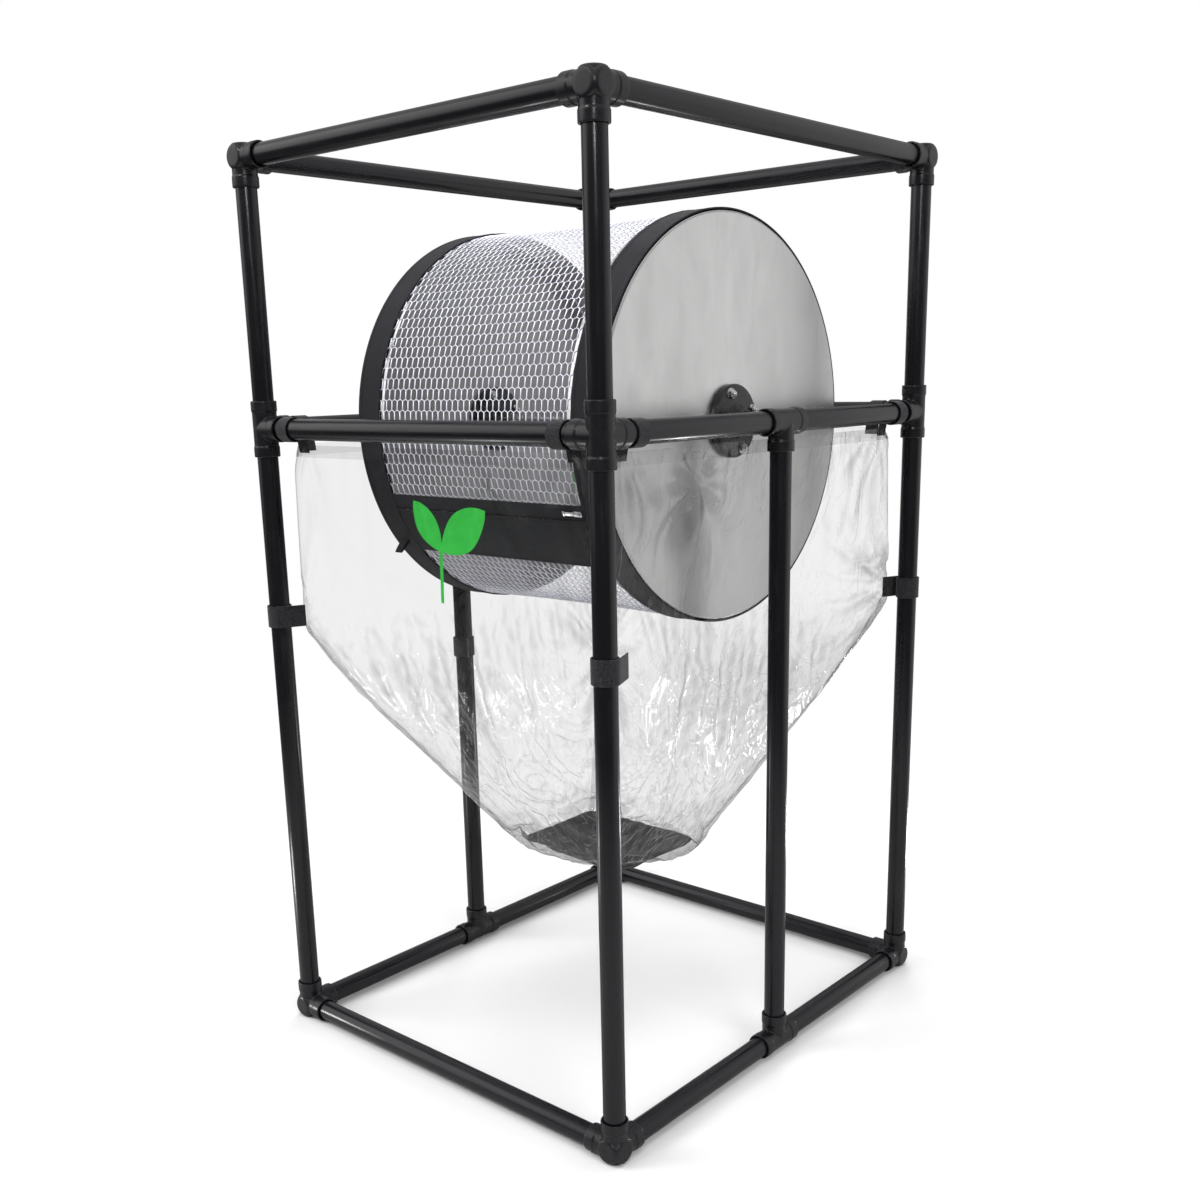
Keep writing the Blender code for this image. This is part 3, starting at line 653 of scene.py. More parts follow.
def arms_of(node, centre):
    """The directions in which a fitting has a socket, as its box shows."""
    low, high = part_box(node)
    least = 0.8 * MOUTH
    found = []
    for k, axis in enumerate((X, Y, Z)):
        if high[k] - centre[k] > least:
            found.append(axis)
        if centre[k] - low[k] > least:
            found.append(-axis)
    return found


def fitting(node):
    """A moulded fitting: hollow arms with a collar at each mouth, melted into one skin."""
    centre = place_of(node)
    arms = arms_of(node, centre)
    closed_end = len(arms) == 3 and "elbow" in node
    tail = BOTTOM_Z if closed_end else 0.004
    hole = PIPE_RADIUS + SOCKET_PLAY
    profile = [(0, ARM_START, 0), (hole, ARM_START, 0), (hole, MOUTH, 0), (FITTING_RADIUS, MOUTH, 0.0014)]
    profile += [(FITTING_RADIUS, MOUTH - COLLAR_LENGTH, 0.001)]
    profile += [(CORE_RADIUS, MOUTH - COLLAR_LENGTH - 0.0016, 0.001)]
    profile += [(CORE_RADIUS, -tail, 0.007 if closed_end else 0.001), (0, -tail, 0)]
    arms = [lathe("arm", profile, on_axis(arm, centre)) for arm in arms]
    skin = ("REMESH", {"mode": "VOXEL", "voxel_size": FITTING_VOXEL})
    soft = ("SMOOTH", {"factor": 0.5, "iterations": 4})
    return modified(joined("fitting", arms), skin, soft, ("DECIMATE", {"ratio": 0.35}))


def pipe(node):
    """A length of pipe in its place, with softened ends."""
    half = half_of(node)
    k = max(range(3), key=lambda i: half[i])
    axis, length = (X, Y, Z)[k], 2 * half[k]
    inner = PIPE_RADIUS - PIPE_WALL
    profile = [(inner, 0, PIPE_EDGE), (inner, length, PIPE_EDGE), (PIPE_RADIUS, length, PIPE_EDGE)]
    profile += [(PIPE_RADIUS, 0, PIPE_EDGE), (inner, 0, 0)]
    return lathe("pipe", profile, on_axis(axis, centre_of(node) - axis * half[k]), sides=56)


def bushing(node, sign):
    """A turned bush with a rim on the side that faces the drum."""
    low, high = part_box(node)
    start, length = (low.x if sign < 0 else high.x), high.x - low.x
    step = length - BUSH_RIM_WIDTH
    profile = [(BUSH_BORE, 0, 0), (BUSH_RADIUS, 0, 0.0006), (BUSH_RADIUS, step, 0.0005)]
    profile += [(BUSH_RIM, step, 0.0008), (BUSH_RIM, length, 0.0009), (BUSH_BORE, length, 0.0005)]
    return lathe("bush", profile, on_axis(X * -sign, (start, 0, MID_Z)), sides=48, loop=True)


def build_frame():
    for node in sorted(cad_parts):
        if any(word in node for word in ("elbow", "cross", "tee")):
            piece(f"{node}_moulding", fitting(node), FITTING_BLACK, "root", [node], 50)
        elif "rail" in node or "post" in node:
            piece(f"{node}_pipe", pipe(node), PIPE_BLACK, "root", [node])
    for side, sign in SIDES.items():
        node = f"axle_bushing_{side}"
        piece(f"{node}_turned", bushing(node, sign), BUSHING, "root", [node])


# ---------------------------------------------------------------- drum


NET_ROWS = 116
NET_COLUMNS = 35
NET_PITCH_X = 0.0125
NET_LEG_SHARE = 0.80
NET_LEG = 0.00085
NET_LINK = 0.00055
NET_WAIST = 0.0030
STRAND_SIDES = 5

STITCH_PITCH = 0.0045
STITCH_RADIUS = 0.00028
STITCH_SHARE = 0.72

PLATE_BORE = 0.0100
BAND_HEM, TAPE_HEM, FLAP_HEM, FACING_HEM = 0.006, 0.003, 0.004, 0.002
COVER_BASE = COVER_INNER + 0.0001
COVER_THICKNESS, FACING_THICKNESS = 0.0013, 0.0008
DOOR_MARGIN = 0.013
TAB_ANGLE = 37.4
TAB_REACH, TAB_GAP = 0.026, 0.0022
TOOTH_PITCH = 0.0022
TOOTH_SIZE = (0.0013, 0.0030, 0.0016)
TEETH_HALF = 0.200

SHAFT_RADIUS = 0.008
HUB_BORE, HUB_RADIUS = 0.0085, 0.056
BOLT_CIRCLE, BOLT_SEAT = 0.044, 0.0098

# Profiles of (radius, height, fillet), up from the hub's face
WASHER = [(0, 0, 0), (0.0088, 0, 0.0003), (0.0088, 0.0014, 0.0004), (0, 0.0014, 0)]
NUT = [(0, 0.0014, 0), (0.0074, 0.0014, 0), (0.0074, 0.0062, 0.0006), (0.0060, 0.0068, 0.0004)]
NUT += [(0, 0.0068, 0)]
DOME = [(0.0052, 0.0060, 0), (0.0052, 0.0078, 0.001), (0.0040, 0.0103, 0.002), (0, 0.0112, 0)]

# The zip slider's parts, as size and place: body, bridge, the bridge's feet, pull and the pull's end
SLIDER_BOXES = [
    ((0.015, 0.0088, 0.0020), (0, 0, 0.0010)),
    ((0.010, 0.0030, 0.0022), (-0.001, 0, 0.0040)),
    ((0.0022, 0.0030, 0.0030), (0.004, 0, 0.0026)),
    ((0.0022, 0.0030, 0.0030), (-0.006, 0, 0.0026)),
    ((0.022, 0.0062, 0.0012), (-0.0175, 0, 0.0022)),
    ((0.0040, 0.0085, 0.0016), (-0.027, 0, 0.0022)),
]


def on_drum_axis(outward, seat=0.0):
    """The matrix that takes +Z to the drum's axis, and the origin to a place along it."""
    return on_axis(X * outward, (DRUM_X + seat, 0, MID_Z))


def net_radius(x):
    """The net is drawn in a little between the rims."""
    return (SLEEVE_INNER + SLEEVE_OUTER) / 2 - NET_WAIST * (1 - min(1.0, abs(x) / BAND_INNER_END) ** 2)


def in_door(x, angle):
    """True where the net is cut away behind the flap. angle is in degrees below the front horizontal."""
    return abs(x) < DOOR_HALF - 0.004 and DOOR_ANGLES[0] + 0.6 < angle < DOOR_ANGLES[1] - 0.6


def prisms(name, starts, ends, outward, radii):
    """Closed thin bars from each start to its end. outward is any direction across each bar."""
    run = ends - starts
    run /= np.linalg.norm(run, axis=1, keepdims=True)
    across = np.cross(run, outward)
    across /= np.linalg.norm(across, axis=1, keepdims=True)
    up = np.cross(across, run)
    turn = np.linspace(0, 2 * math.pi, STRAND_SIDES, endpoint=False)
    ring = np.cos(turn)[None, :, None] * across[:, None] + np.sin(turn)[None, :, None] * up[:, None]
    ring *= radii[:, None, None]
    points = np.stack([starts[:, None] + ring, ends[:, None] + ring], axis=1).reshape(-1, 3)
    low = list(range(STRAND_SIDES))
    high = [STRAND_SIDES + k for k in low]
    bar = [low, high[::-1]]
    for k in low:
        after = (k + 1) % STRAND_SIDES
        bar.append([low[after], low[k], high[k], high[after]])
    faces = [[first + k for k in face] for first in range(0, len(points), 2 * STRAND_SIDES) for face in bar]
    mesh = bpy.data.meshes.new(name)
    mesh.from_pydata(points.tolist(), [], faces)
    return mesh


def net_mesh():
    """A knitted net of long six-sided meshes round the drum.

    Thick legs run round the drum, and thinner slanted strands join the end of each leg to the next
    row. Rows are staggered by half a mesh.
    """
    step = 360 / NET_ROWS
    half_leg = NET_LEG_SHARE * step / 2

    def knot(row, column, end):
        x = (column + 0.5 * (row % 2) - (NET_COLUMNS - 0.5) / 2) * NET_PITCH_X
        angle = row * step + end * half_leg
        return on_drum(angle, net_radius(x), x), x, angle

    starts, ends, radii = [], [], []
    for row in range(NET_ROWS):
        shift = row % 2
        for column in range(NET_COLUMNS):
            top, x, angle = knot(row, column, -1)
            bottom = knot(row, column, 1)[0]
            joins = [(column - 1 + shift, top), (column + shift, top)]
            bars = [(top, bottom, NET_LEG)]
            for other, here in joins:
                if 0 <= other < NET_COLUMNS:
                    bars.append((here, knot(row - 1, other, 1)[0], NET_LINK))
            for start, end, radius in bars:
                middle = (start + end) / 2
                if not in_door(middle.x - DRUM_X, angle):
                    starts.append(start)
                    ends.append(end)
                    radii.append(radius)
    starts, ends = np.array(starts), np.array(ends)
    outward = (starts + ends) / 2 - np.array([0, 0, MID_Z])
    outward[:, 0] = 0
    return prisms("net", starts, ends, outward, np.array(radii))


def pan_mesh(end):
    """A pressed pan: a flat face with a rounded corner and a lip that the net is clamped on."""
    lip, back = PAN_RADIUS - SHEET_STEEL, PAN_FACE - SHEET_STEEL
    profile = [(PLATE_BORE, PAN_FACE, 0), (PAN_RADIUS, PAN_FACE, 0.005), (PAN_RADIUS, PAN_LIP_END, 0.0004)]
    profile += [(lip, PAN_LIP_END, 0.0004), (lip, back, 0.0035), (PLATE_BORE, back, 0)]
    return lathe("pan", profile, on_drum_axis(end), sides=192, loop=True)


def band_mesh(end):
    """A fabric rim band with a rolled hem along each edge and a little slack between."""
    outer, inner = PAN_FACE - 0.0025, BAND_INNER_END
    outer_hem, inner_hem = outer - BAND_HEM, inner + BAND_HEM
    low, high = SLEEVE_OUTER + 0.0001, COVER_OUTER - 0.0001
    hem = high + 0.0006
    profile = [(low, outer, 0.0005), (hem, outer, 0.0006), (hem, outer_hem, 0.0008)]
    profile += [(high, outer_hem - 0.001, 0.001), (high + 0.0002, (outer + inner) / 2, 0)]
    profile += [(high, inner_hem + 0.001, 0.001), (hem, inner_hem, 0.0008)]
    profile += [(hem, inner, 0.0006), (low, inner, 0)]

    def slack(angle, radius, height):
        inward = np.clip((outer - height) / (outer - inner), 0, 1)
        wave = 0.45 * np.sin(23 * angle + end) + 0.35 * np.sin(57 * angle + 2 * end)
        wave = wave + 0.2 * np.sin(131 * angle)
        lift = (radius - low) / (high - low)
        return radius + 0.00035 * wave * lift * inward, height + 0.0009 * wave * inward

    return lathe("band", profile, on_drum_axis(end), sides=288, loop=True, wobble=slack)


def curved_cover(angles, half_length, hem, thickness=COVER_THICKNESS, columns=120, base=COVER_BASE):
    """A strip of fabric on the drum between two angles, hemmed round its edge, with small puckers."""
    low, high = angles
    rows = max(6, round((high - low) / 0.8))
    spread = np.linspace(-half_length, half_length, columns)
    top, bottom = np.zeros((2, rows, columns, 3))
    for i, angle in enumerate(np.linspace(low, high, rows)):
        from_side = math.radians(min(angle - low, high - angle)) * base
        for j, x in enumerate(spread):
            from_end = min(half_length - abs(x), from_side)
            pucker = 0.0004 * noise.noise(Vector((x * 45, angle * 0.6, 3.1)))
            pucker += 0.0007 * noise.noise(Vector((x * 11, angle * 0.25, 7.7)))
            raised = 0.0005 if from_end < hem else 0.0
            top[i, j] = on_drum(angle, base + thickness + raised + pucker * min(1.0, from_end / 0.012), x)
            bottom[i, j] = on_drum(angle, base, x)
    width = math.radians(high - low) * base
    return shell_between(top, bottom, np.stack(np.meshgrid(spread, np.linspace(0, width, rows)), axis=-1))


def shell_between(top, bottom, uv):
    """A closed sheet between two like grids of points."""
    rows, cols = top.shape[:2]
    bm = opened(grid_mesh("top", top, uv), grid_mesh("bottom", bottom, uv))
    rim = [(0, j) for j in range(cols)] + [(i, cols - 1) for i in range(1, rows)]
    rim += [(rows - 1, j) for j in range(cols - 2, -1, -1)] + [(i, 0) for i in range(rows - 2, 0, -1)]
    ring = [i * cols + j for i, j in rim]
    for a, b in zip(ring, ring[1:] + ring[:1]):
        bm.faces.new([bm.verts[k] for k in (a, b, b + rows * cols, a + rows * cols)])
    return closed(bm, "sheet", outward=True)


def stitch_row(start, end, out):
    """Short raised stitches from one point to another. out is the side that they stand on."""
    count = max(2, round((end - start).length / STITCH_PITCH))
    points = [start.lerp(end, t) for t in np.linspace(0, 1, count)]
    return stitches(points, [out] * count)


def stitches(points, outs):
    """Stitches along a line of points, as thin six-sided beads. outs gives each one's upward side."""
    angles = np.linspace(0, 2 * math.pi, 6, endpoint=False)
    meshes = []
    for a, b, out in zip(points, points[1:], outs):
        long, slim = (b - a).length * STITCH_SHARE, STITCH_RADIUS * 0.8
        profile = [(0, -long / 2), (slim, -long * 0.42), (STITCH_RADIUS, 0)]
        profile += [(r, -z) for r, z in profile[1::-1]]
        bead = np.array([[(r * math.cos(t), r * math.sin(t), z) for t in angles] for r, z in profile])
        mesh = grid_mesh("stitch", bead, wrap_cols=True)
        mesh.transform(on_axis((b - a).normalized(), a.lerp(b, 0.5) + out * STITCH_RADIUS * 0.4))
        meshes.append(mesh)
    return tidied(joined("stitches", meshes), 1e-7)


def hub_mesh(rise):
    """A hub flange: a low dished disc with a boss round the shaft."""
    profile = [(HUB_BORE, 0, 0), (HUB_RADIUS, 0, 0.0008), (HUB_RADIUS, 0.0090, 0.0025)]
    profile += [(0.050, 0.0108, 0.004), (0.026, 0.0120, 0.004), (0.0205, 0.8 * rise, 0.002)]
    profile += [(0.0195, rise, 0.003), (0.0110, rise, 0.001), (HUB_BORE, rise - 0.0015, 0)]
    return lathe("hub", profile, Matrix(), sides=96, loop=True)


def bolt_meshes():
    """Four domed hex nuts on washers, on the hub's bolt circle."""
    made = []
    for index in range(4):
        turn = math.radians(20 + 90 * index)
        place = Vector((math.cos(turn), math.sin(turn), 0)) * BOLT_CIRCLE + Z * BOLT_SEAT
        for profile, sides in ((WASHER, 40), (NUT, 6), (DOME, 32)):
            made.append(lathe("bolt", profile, Matrix.Translation(place), sides=sides))
    return joined("nuts", made)


def build_hubs():
    for side, end in SIDES.items():
        for layer, outward in (("outer", end), ("inner", -end)):
            node = f"hub_{layer}_{side}"
            low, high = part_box(node)
            seat = (low if outward > 0 else high).x - DRUM_X
            hub, nuts = hub_mesh(high.x - low.x), bolt_meshes()
            for mesh in (hub, nuts):
                mesh.transform(on_drum_axis(outward, seat))
            piece(f"{node}_flange", hub, HUB_BLACK, "drum", [node])
            piece(f"{node}_nuts", nuts, ZINC, "drum", sharp=25)


def axle_mesh():
    """The through shaft with chamfered ends, and a thicker spacer sleeve between the inner hubs."""
    low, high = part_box("axle")
    left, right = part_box("hub_inner_left")[1].x + 0.0003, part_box("hub_inner_right")[0].x - 0.0003
    thick = half_of("axle").z
    profile = [(0, low.x, 0), (SHAFT_RADIUS, low.x, 0.001), (SHAFT_RADIUS, left, 0), (thick, left, 0.0008)]
    profile += [(thick, right, 0.0008), (SHAFT_RADIUS, right, 0), (SHAFT_RADIUS, high.x, 0.001)]
    profile += [(0, high.x, 0)]
    return lathe("axle", profile, on_axis(X, (0, 0, MID_Z)), sides=48)


def zip_teeth(angle, toward, radius):
    """One side of a coil zip: a row of small rounded teeth that reach toward the other side."""
    count = round(2 * TEETH_HALF / TOOTH_PITCH)
    boxes = []
    for index in range(count):
        x = -TEETH_HALF + (index + 0.5) * 2 * TEETH_HALF / count
        place = on_drum(angle + toward * 0.12, radius, x)
        boxes.append((TOOTH_SIZE, Matrix.Translation(place) @ drum_turn(angle)))
    return rounded_boxes("teeth", boxes, 0.0004, 2)


def slider_mesh():
    """A zip slider: a waisted body with a bridge, and its pull lying along the zip."""
    angle = sum(TAPE_ANGLES) / 2 + 0.15
    made = rounded_boxes("slider", [(size, Matrix.Translation(at)) for size, at in SLIDER_BOXES], 0.0006, 3)
    place = on_drum(angle, COVER_OUTER + 0.0003)
    place.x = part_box("zip_slider")[1].x - 0.008
    made.transform(Matrix.Translation(place) @ drum_turn(angle))
    return made


def pull_tab_mesh():
    """A folded ribbon loop that hangs off the left rim band."""
    out = on_drum(TAB_ANGLE, 1.0) - on_drum(TAB_ANGLE, 0.0)
    down = X.cross(out)
    root = on_drum(TAB_ANGLE, COVER_OUTER - 0.0004)
    root.x = centre_of("pull_tab").x
    path, normals = [], []
    for turn in np.linspace(0, math.pi, 25):
        offset = out * TAB_REACH * math.sin(turn) ** 0.8 - down * TAB_GAP * math.cos(turn)
        path.append(root + offset + down * 0.004 * math.sin(turn))
        normals.append((out * math.sin(turn) - down * math.cos(turn)).normalized())
    return strip("tab", path, normals, X, 0.016, 0.0011)


def band_stitches(x):
    """A row of stitches round a rim band."""
    count = round(2 * math.pi * COVER_OUTER / STITCH_PITCH)
    line = [on_drum(360 * i / count, COVER_OUTER + 0.0001, x) for i in range(count + 1)]
    outs = [(point - Vector((point.x, 0, MID_Z))).normalized() for point in line]
    return stitches(line, outs)


def build_rims():
    width = PAN_FACE - BAND_INNER_END
    for side, end in SIDES.items():
        node = f"end_plate_{side}"
        piece(f"{node}_pan", pan_mesh(end), STEEL, "drum", [node], 45)
        node = f"rim_band_{side}"
        band = piece(f"{node}_cloth", band_mesh(end), FABRIC, "drum", [node])
        for edge, offset in (("inner", 0.0075), ("outer", width - 0.0065)):
            mesh = band_stitches(end * (BAND_INNER_END + offset))
            piece(f"{node}_stitches_{edge}", mesh, THREAD, "drum")


def build_door():
    """The zip tape over the door, the facing round it, the flap, and the zip between them."""
    tape = piece("zip_tape_cloth", curved_cover(TAPE_ANGLES, COVER_HALF, TAPE_HEM), FABRIC, "drum",
                 ["zip_tape"])
    facing = []
    for angles, x_low, x_high in door_edges():
        half = (x_high - x_low) / 2
        columns = max(4, round(half * 400))
        mesh = curved_cover(angles, half, FACING_HEM, FACING_THICKNESS, columns, SLEEVE_INNER - 0.0022)
        mesh.transform(Matrix.Translation(((x_low + x_high) / 2, 0, 0)))
        facing.append(mesh)
    piece("door_facing", joined("facing", facing), FABRIC, "drum")
    flap = piece("door_flap_cloth", curved_cover(FLAP_ANGLES, COVER_HALF, FLAP_HEM), FABRIC, "flap",
                 ["door_flap"])
    rim = COVER_OUTER + 0.0004
    piece("zip_teeth_upper", zip_teeth(TAPE_ANGLES[1], 1, rim), HUB_BLACK, "drum")
    piece("zip_teeth_lower", zip_teeth(FLAP_ANGLES[0], -1, rim), HUB_BLACK, "flap")
    rows = []
    for angle in (FLAP_ANGLES[0] + 1.2, FLAP_ANGLES[1] - 0.9):
        ends = [on_drum(angle, rim + 0.0003, x) for x in (0.006 - COVER_HALF, COVER_HALF - 0.006)]
        rows.append(stitch_row(*ends, on_drum(angle, 1.0) - on_drum(angle, 0.0)))
    piece("door_flap_stitches", joined("stitches", rows), THREAD, "flap")
    piece("zip_slider_body", slider_mesh(), ZINC, "slider", ["zip_slider"])


def build_drum():
    build_rims()
    net = piece("mesh_sleeve_net", net_mesh(), NET, "drum", ["mesh_sleeve"], 180)
    piece("axle_bar", axle_mesh(), SHAFT, "drum", ["axle"])
    build_door()
    piece("pull_tab_ribbon", pull_tab_mesh(), FABRIC, "drum", ["pull_tab"])
    build_hubs()


def door_edges():
    """The strips of facing round the door, as (angles, low x, high x)."""
    turn = math.degrees(DOOR_MARGIN / SLEEVE_OUTER)
    low, high = DOOR_ANGLES
    inside, outside = DOOR_HALF, DOOR_HALF + DOOR_MARGIN
    return [
        ((low - turn, low), -outside, outside),
        ((high, high + turn), -outside, outside),
        (DOOR_ANGLES, -outside, -inside),
        (DOOR_ANGLES, inside, outside),
    ]


# ---------------------------------------------------------------- catch bag


CORNER_STEPS = 10
SIDE_STEPS = (52, 60)
WALL_ROWS = 24
FUNNEL_ROWS = 42
PANEL_ROWS = 12
TOP_CORNER = 0.046
TIGHT_CORNER = 0.016
HEM_HEIGHT = 0.024
PANEL_SAG = 0.034
STRIP_LIFT = 0.0003
PANEL_THICKNESS = 0.0012
DRAPE_FRAMES = 26

# The heights of the film's folds, sharp creases, round dents and slow waves
FOLD, CREASE, DENT, WAVE = 0.0018, 0.0012, 0.0010, 0.0035
# How far a pull's folds reach, how much the panel crinkles, and how often normals are smoothed
PULL_FADE = 0.17
PANEL_CRINKLE = 0.3
SMOOTHING = 70


def bag_ring(half_x, half_y, corner, z):
    """Points round the bag at one height, anticlockwise from the middle of the right face."""
    points = []
    for index, (sx, sy) in enumerate(((1, 1), (-1, 1), (-1, -1), (1, -1))):
        centre = Vector((sx * (half_x - corner), sy * (half_y - corner), z))
        turns = [math.radians(90 * index + 90 * step / CORNER_STEPS) for step in range(CORNER_STEPS)]
        rounded = [centre + corner * Vector((math.cos(turn), math.sin(turn), 0)) for turn in turns]
        start = rounded[0]
        along_y = index % 2 == 0
        back = Vector((start.x, -start.y, z)) if along_y else Vector((-start.x, start.y, z))
        steps = SIDE_STEPS[along_y]
        points += [back.lerp(start, step / steps) for step in range(steps)] + rounded
    return points


def bag_rings():
    """The rings of the bag from its hem to the middle of its bottom, with how far down each one is."""
    rings, depth = [], []
    for row in range(WALL_ROWS + 1):
        t = row / WALL_ROWS
        z = BAG_TOP + (WALL_END - BAG_TOP) * t
        corner = TIGHT_CORNER + (TOP_CORNER - TIGHT_CORNER) * math.exp(-(BAG_TOP - z) / 0.035)
        rings.append(bag_ring(BAG_X, BAG_Y, corner, z))
        depth.append(BAG_TOP - z)
    slope = math.hypot((BAG_X + BAG_Y - OUTLET_X - OUTLET_Y) / 2, WALL_END - OUTLET_Z)
    for row in range(1, FUNNEL_ROWS + 1):
        t = row / FUNNEL_ROWS
        half_x, half_y = BAG_X + (OUTLET_X - BAG_X) * t, BAG_Y + (OUTLET_Y - BAG_Y) * t
        rings.append(bag_ring(half_x, half_y, TIGHT_CORNER, WALL_END + (OUTLET_Z - WALL_END) * t))
        depth.append(BAG_TOP - WALL_END + slope * t)
    for row in range(1, PANEL_ROWS + 1):
        t = row / PANEL_ROWS
        shrink = 1 - 0.94 * t
        z = OUTLET_Z - PANEL_SAG * math.sin(t * math.pi / 2)
        rings.append(bag_ring(OUTLET_X * shrink, OUTLET_Y * shrink, TIGHT_CORNER * shrink, z))
        depth.append(depth[WALL_ROWS + FUNNEL_ROWS] + 0.1 * t)
    return np.array(rings), np.array(depth)


def bag_slack(rings):
    """How much spare cloth there is at each point, from 0 to 1."""
    rows = rings.shape[0]
    down = np.arange(rows)[:, None] / (WALL_ROWS + FUNNEL_ROWS)
    right = np.clip((rings[..., 0] + 0.05) / 0.30, 0, 1)
    funnel = np.clip((down - 0.34) / 0.12, 0, 1)
    return np.clip(0.04 + 0.20 * right + 0.75 * funnel, 0, 1)


def held_points(rings):
    """True where the bag is held: its hem, its outlet and its corners at the straps."""
    held = np.zeros(rings.shape[:2], bool)
    held[[0, WALL_ROWS + FUNNEL_ROWS]] = True
    at_strap = np.abs(rings[:, :1, 2] - STRAP_Z) < STRAP_WIDTH / 2 + 0.001
    at_corner = (np.abs(rings[..., 0]) > BAG_X - 0.014) & (np.abs(rings[..., 1]) > BAG_Y - 0.014)
    return held | (at_strap & at_corner)


def drape_bag(mesh, rings):
    """Lets the bag hang from where it is held, with its spare cloth falling into folds."""
    obj = bpy.data.objects.new("bag_drape", mesh)
    scene = bpy.context.scene
    scene.collection.objects.link(obj)
    held = obj.vertex_groups.new(name="held")
    held.add(np.flatnonzero(held_points(rings)).tolist(), 1.0, "REPLACE")
    slack = obj.vertex_groups.new(name="slack")
    for vertex, weight in enumerate((1 - bag_slack(rings)).ravel()):
        slack.add([vertex], float(weight), "REPLACE")
    cloth = obj.modifiers.new("drape", "CLOTH")
    settings = cloth.settings
    settings.quality = 6
    settings.mass = 0.25
    settings.air_damping = 2.0
    settings.tension_stiffness = settings.compression_stiffness = 40
    settings.shear_stiffness = 25
    settings.bending_stiffness = 4.0
    settings.vertex_group_mass = held.name
    settings.shrink_min, settings.shrink_max = -0.030, 0.0
    settings.vertex_group_shrink = slack.name
    cloth.collision_settings.use_collision = False
    cloth.collision_settings.use_self_collision = False
    for number in range(1, DRAPE_FRAMES + 1):
        scene.frame_set(number)
    draped = obj.evaluated_get(bpy.context.evaluated_depsgraph_get())
    points = np.zeros(rings.size, np.float32)
    draped.to_mesh().vertices.foreach_get("co", points)
    draped.to_mesh_clear()
    bpy.data.objects.remove(obj, do_unlink=True)
    scene.frame_set(1)
    return points.reshape(rings.shape).astype(float)


def grid_normals(points):
    """The outward normal at each point of a bag grid, whose columns wrap."""
    along = np.roll(points, -1, axis=1) - np.roll(points, 1, axis=1)
    down = np.gradient(points, axis=0)
    normal = np.cross(down, along)
    return normal / np.maximum(np.linalg.norm(normal, axis=-1, keepdims=True), 1e-9)


def halfway(points, axis, wrap):
    """The grid with a new row between each two along an axis, on a smooth curve."""
    after = np.roll(points, -1, axis)
    middle = (9 * (points + after) - np.roll(points, 1, axis) - np.roll(points, -2, axis)) / 16
    if not wrap:
        for end in (0, -2, -1):
            middle[end] = (points[end] + after[end]) / 2
    shape = list(points.shape)
    shape[axis] *= 2
    mixed = np.stack([points, middle], axis=axis + 1).reshape(shape)
    return mixed if wrap else mixed[:-1]


def finer(points):
    return halfway(halfway(points, 0, False), 1, True)


def pull(x, y, z, height, count):
    """A place where the film is pulled, how high its folds are and how many run round it."""
    return Vector((x, y, z)), height, count


def pulls():
    """The pulls at the rail tabs and the straps, and a big one near the front on the right face."""
    made = []
    for sx in SIDES.values():
        for sy in DEPTHS.values():
            right, back = sx > 0, sy > 0
            tab_x, tab_y = sx * (POST_X - RAIL_TAB_OFFSET), sy * (POST_Y - RAIL_TAB_OFFSET)
            made.append(pull(sx * BAG_X, tab_y, BAG_TOP, 0.0012 + 0.0050 * right, 2.2))
            made.append(pull(tab_x, sy * BAG_Y, BAG_TOP, 0.0012 + 0.0010 * back, 2.5))
            made.append(pull(sx * BAG_X, sy * BAG_Y, STRAP_Z, 0.0010 + 0.0022 * right, 4.5))
    return made + [pull(BAG_X, -0.173, BAG_TOP - 0.050, 0.0220, 1.5)]


def pull_folds(points):
    """Soft uneven folds that fan out from the tabs and straps, as a height at each point."""
    total = np.zeros(points.shape[:2])
    for index, (place, height, count) in enumerate(pulls()):
        reach = points - np.array(place)
        far = np.linalg.norm(reach, axis=-1)
        outward = reach[..., 0] * np.sign(place.y) + reach[..., 1] * np.sign(place.x)
        turn = np.arctan2(reach[..., 2], outward)
        for at in zip(*np.nonzero(far < 2.5 * PULL_FADE)):
            around = (count * math.cos(turn[at]), count * math.sin(turn[at]), index + 2 * far[at])
            ease = min(1.0, far[at] / 0.04)
            total[at] += height * noise.noise(Vector(around)) * 2 * ease * math.exp(-far[at] / PULL_FADE)
    return total


def clamped(value):
    """The value, held between 0 and 1."""
    return min(1.0, max(0.0, value))


def crinkled(points, depth, panel_start):
    """The film with soft folds, small sharp creases down its slopes, and round dents between them."""
    normals = grid_normals(points)
    rows, cols = points.shape[:2]
    ease_in = np.clip(depth / 0.05, 0, 1)
    moved = points + normals * (pull_folds(points) * ease_in[:, None])[..., None]
    for i in range(rows):
        low = clamped((depth[i] - 0.20) / 0.12)
        share = ease_in[i] * (PANEL_CRINKLE if depth[i] > panel_start else 1.0)
        for j in range(cols):
            x, y, z = points[i, j]
            right = clamped((x + 0.1) / 0.3)
            lean = j / cols * UV_GIRTH * 13 + depth[i] * 8
            where = noise.noise(Vector((x * 11, y * 11, z * 9)))
            fold = max(0.0, 1 - 5 * abs(noise.noise(Vector((lean, depth[i] * 5, 0.7)))))
            fold *= clamped(0.4 + 2 * where)
            crease = max(-0.5, 1 - 3 * abs(noise.noise(Vector((x * 34, y * 34, z * 20)))))
            dent = noise.noise(Vector((x * 60, y * 60, z * 60)))
            wave = noise.noise(Vector((x * 7, y * 7, z * 7)))
            height = FOLD * fold + CREASE * crease + DENT * dent + WAVE * wave
            moved[i, j] += normals[i, j] * height * (0.08 + 0.77 * low + 0.15 * right) * share
    return moved


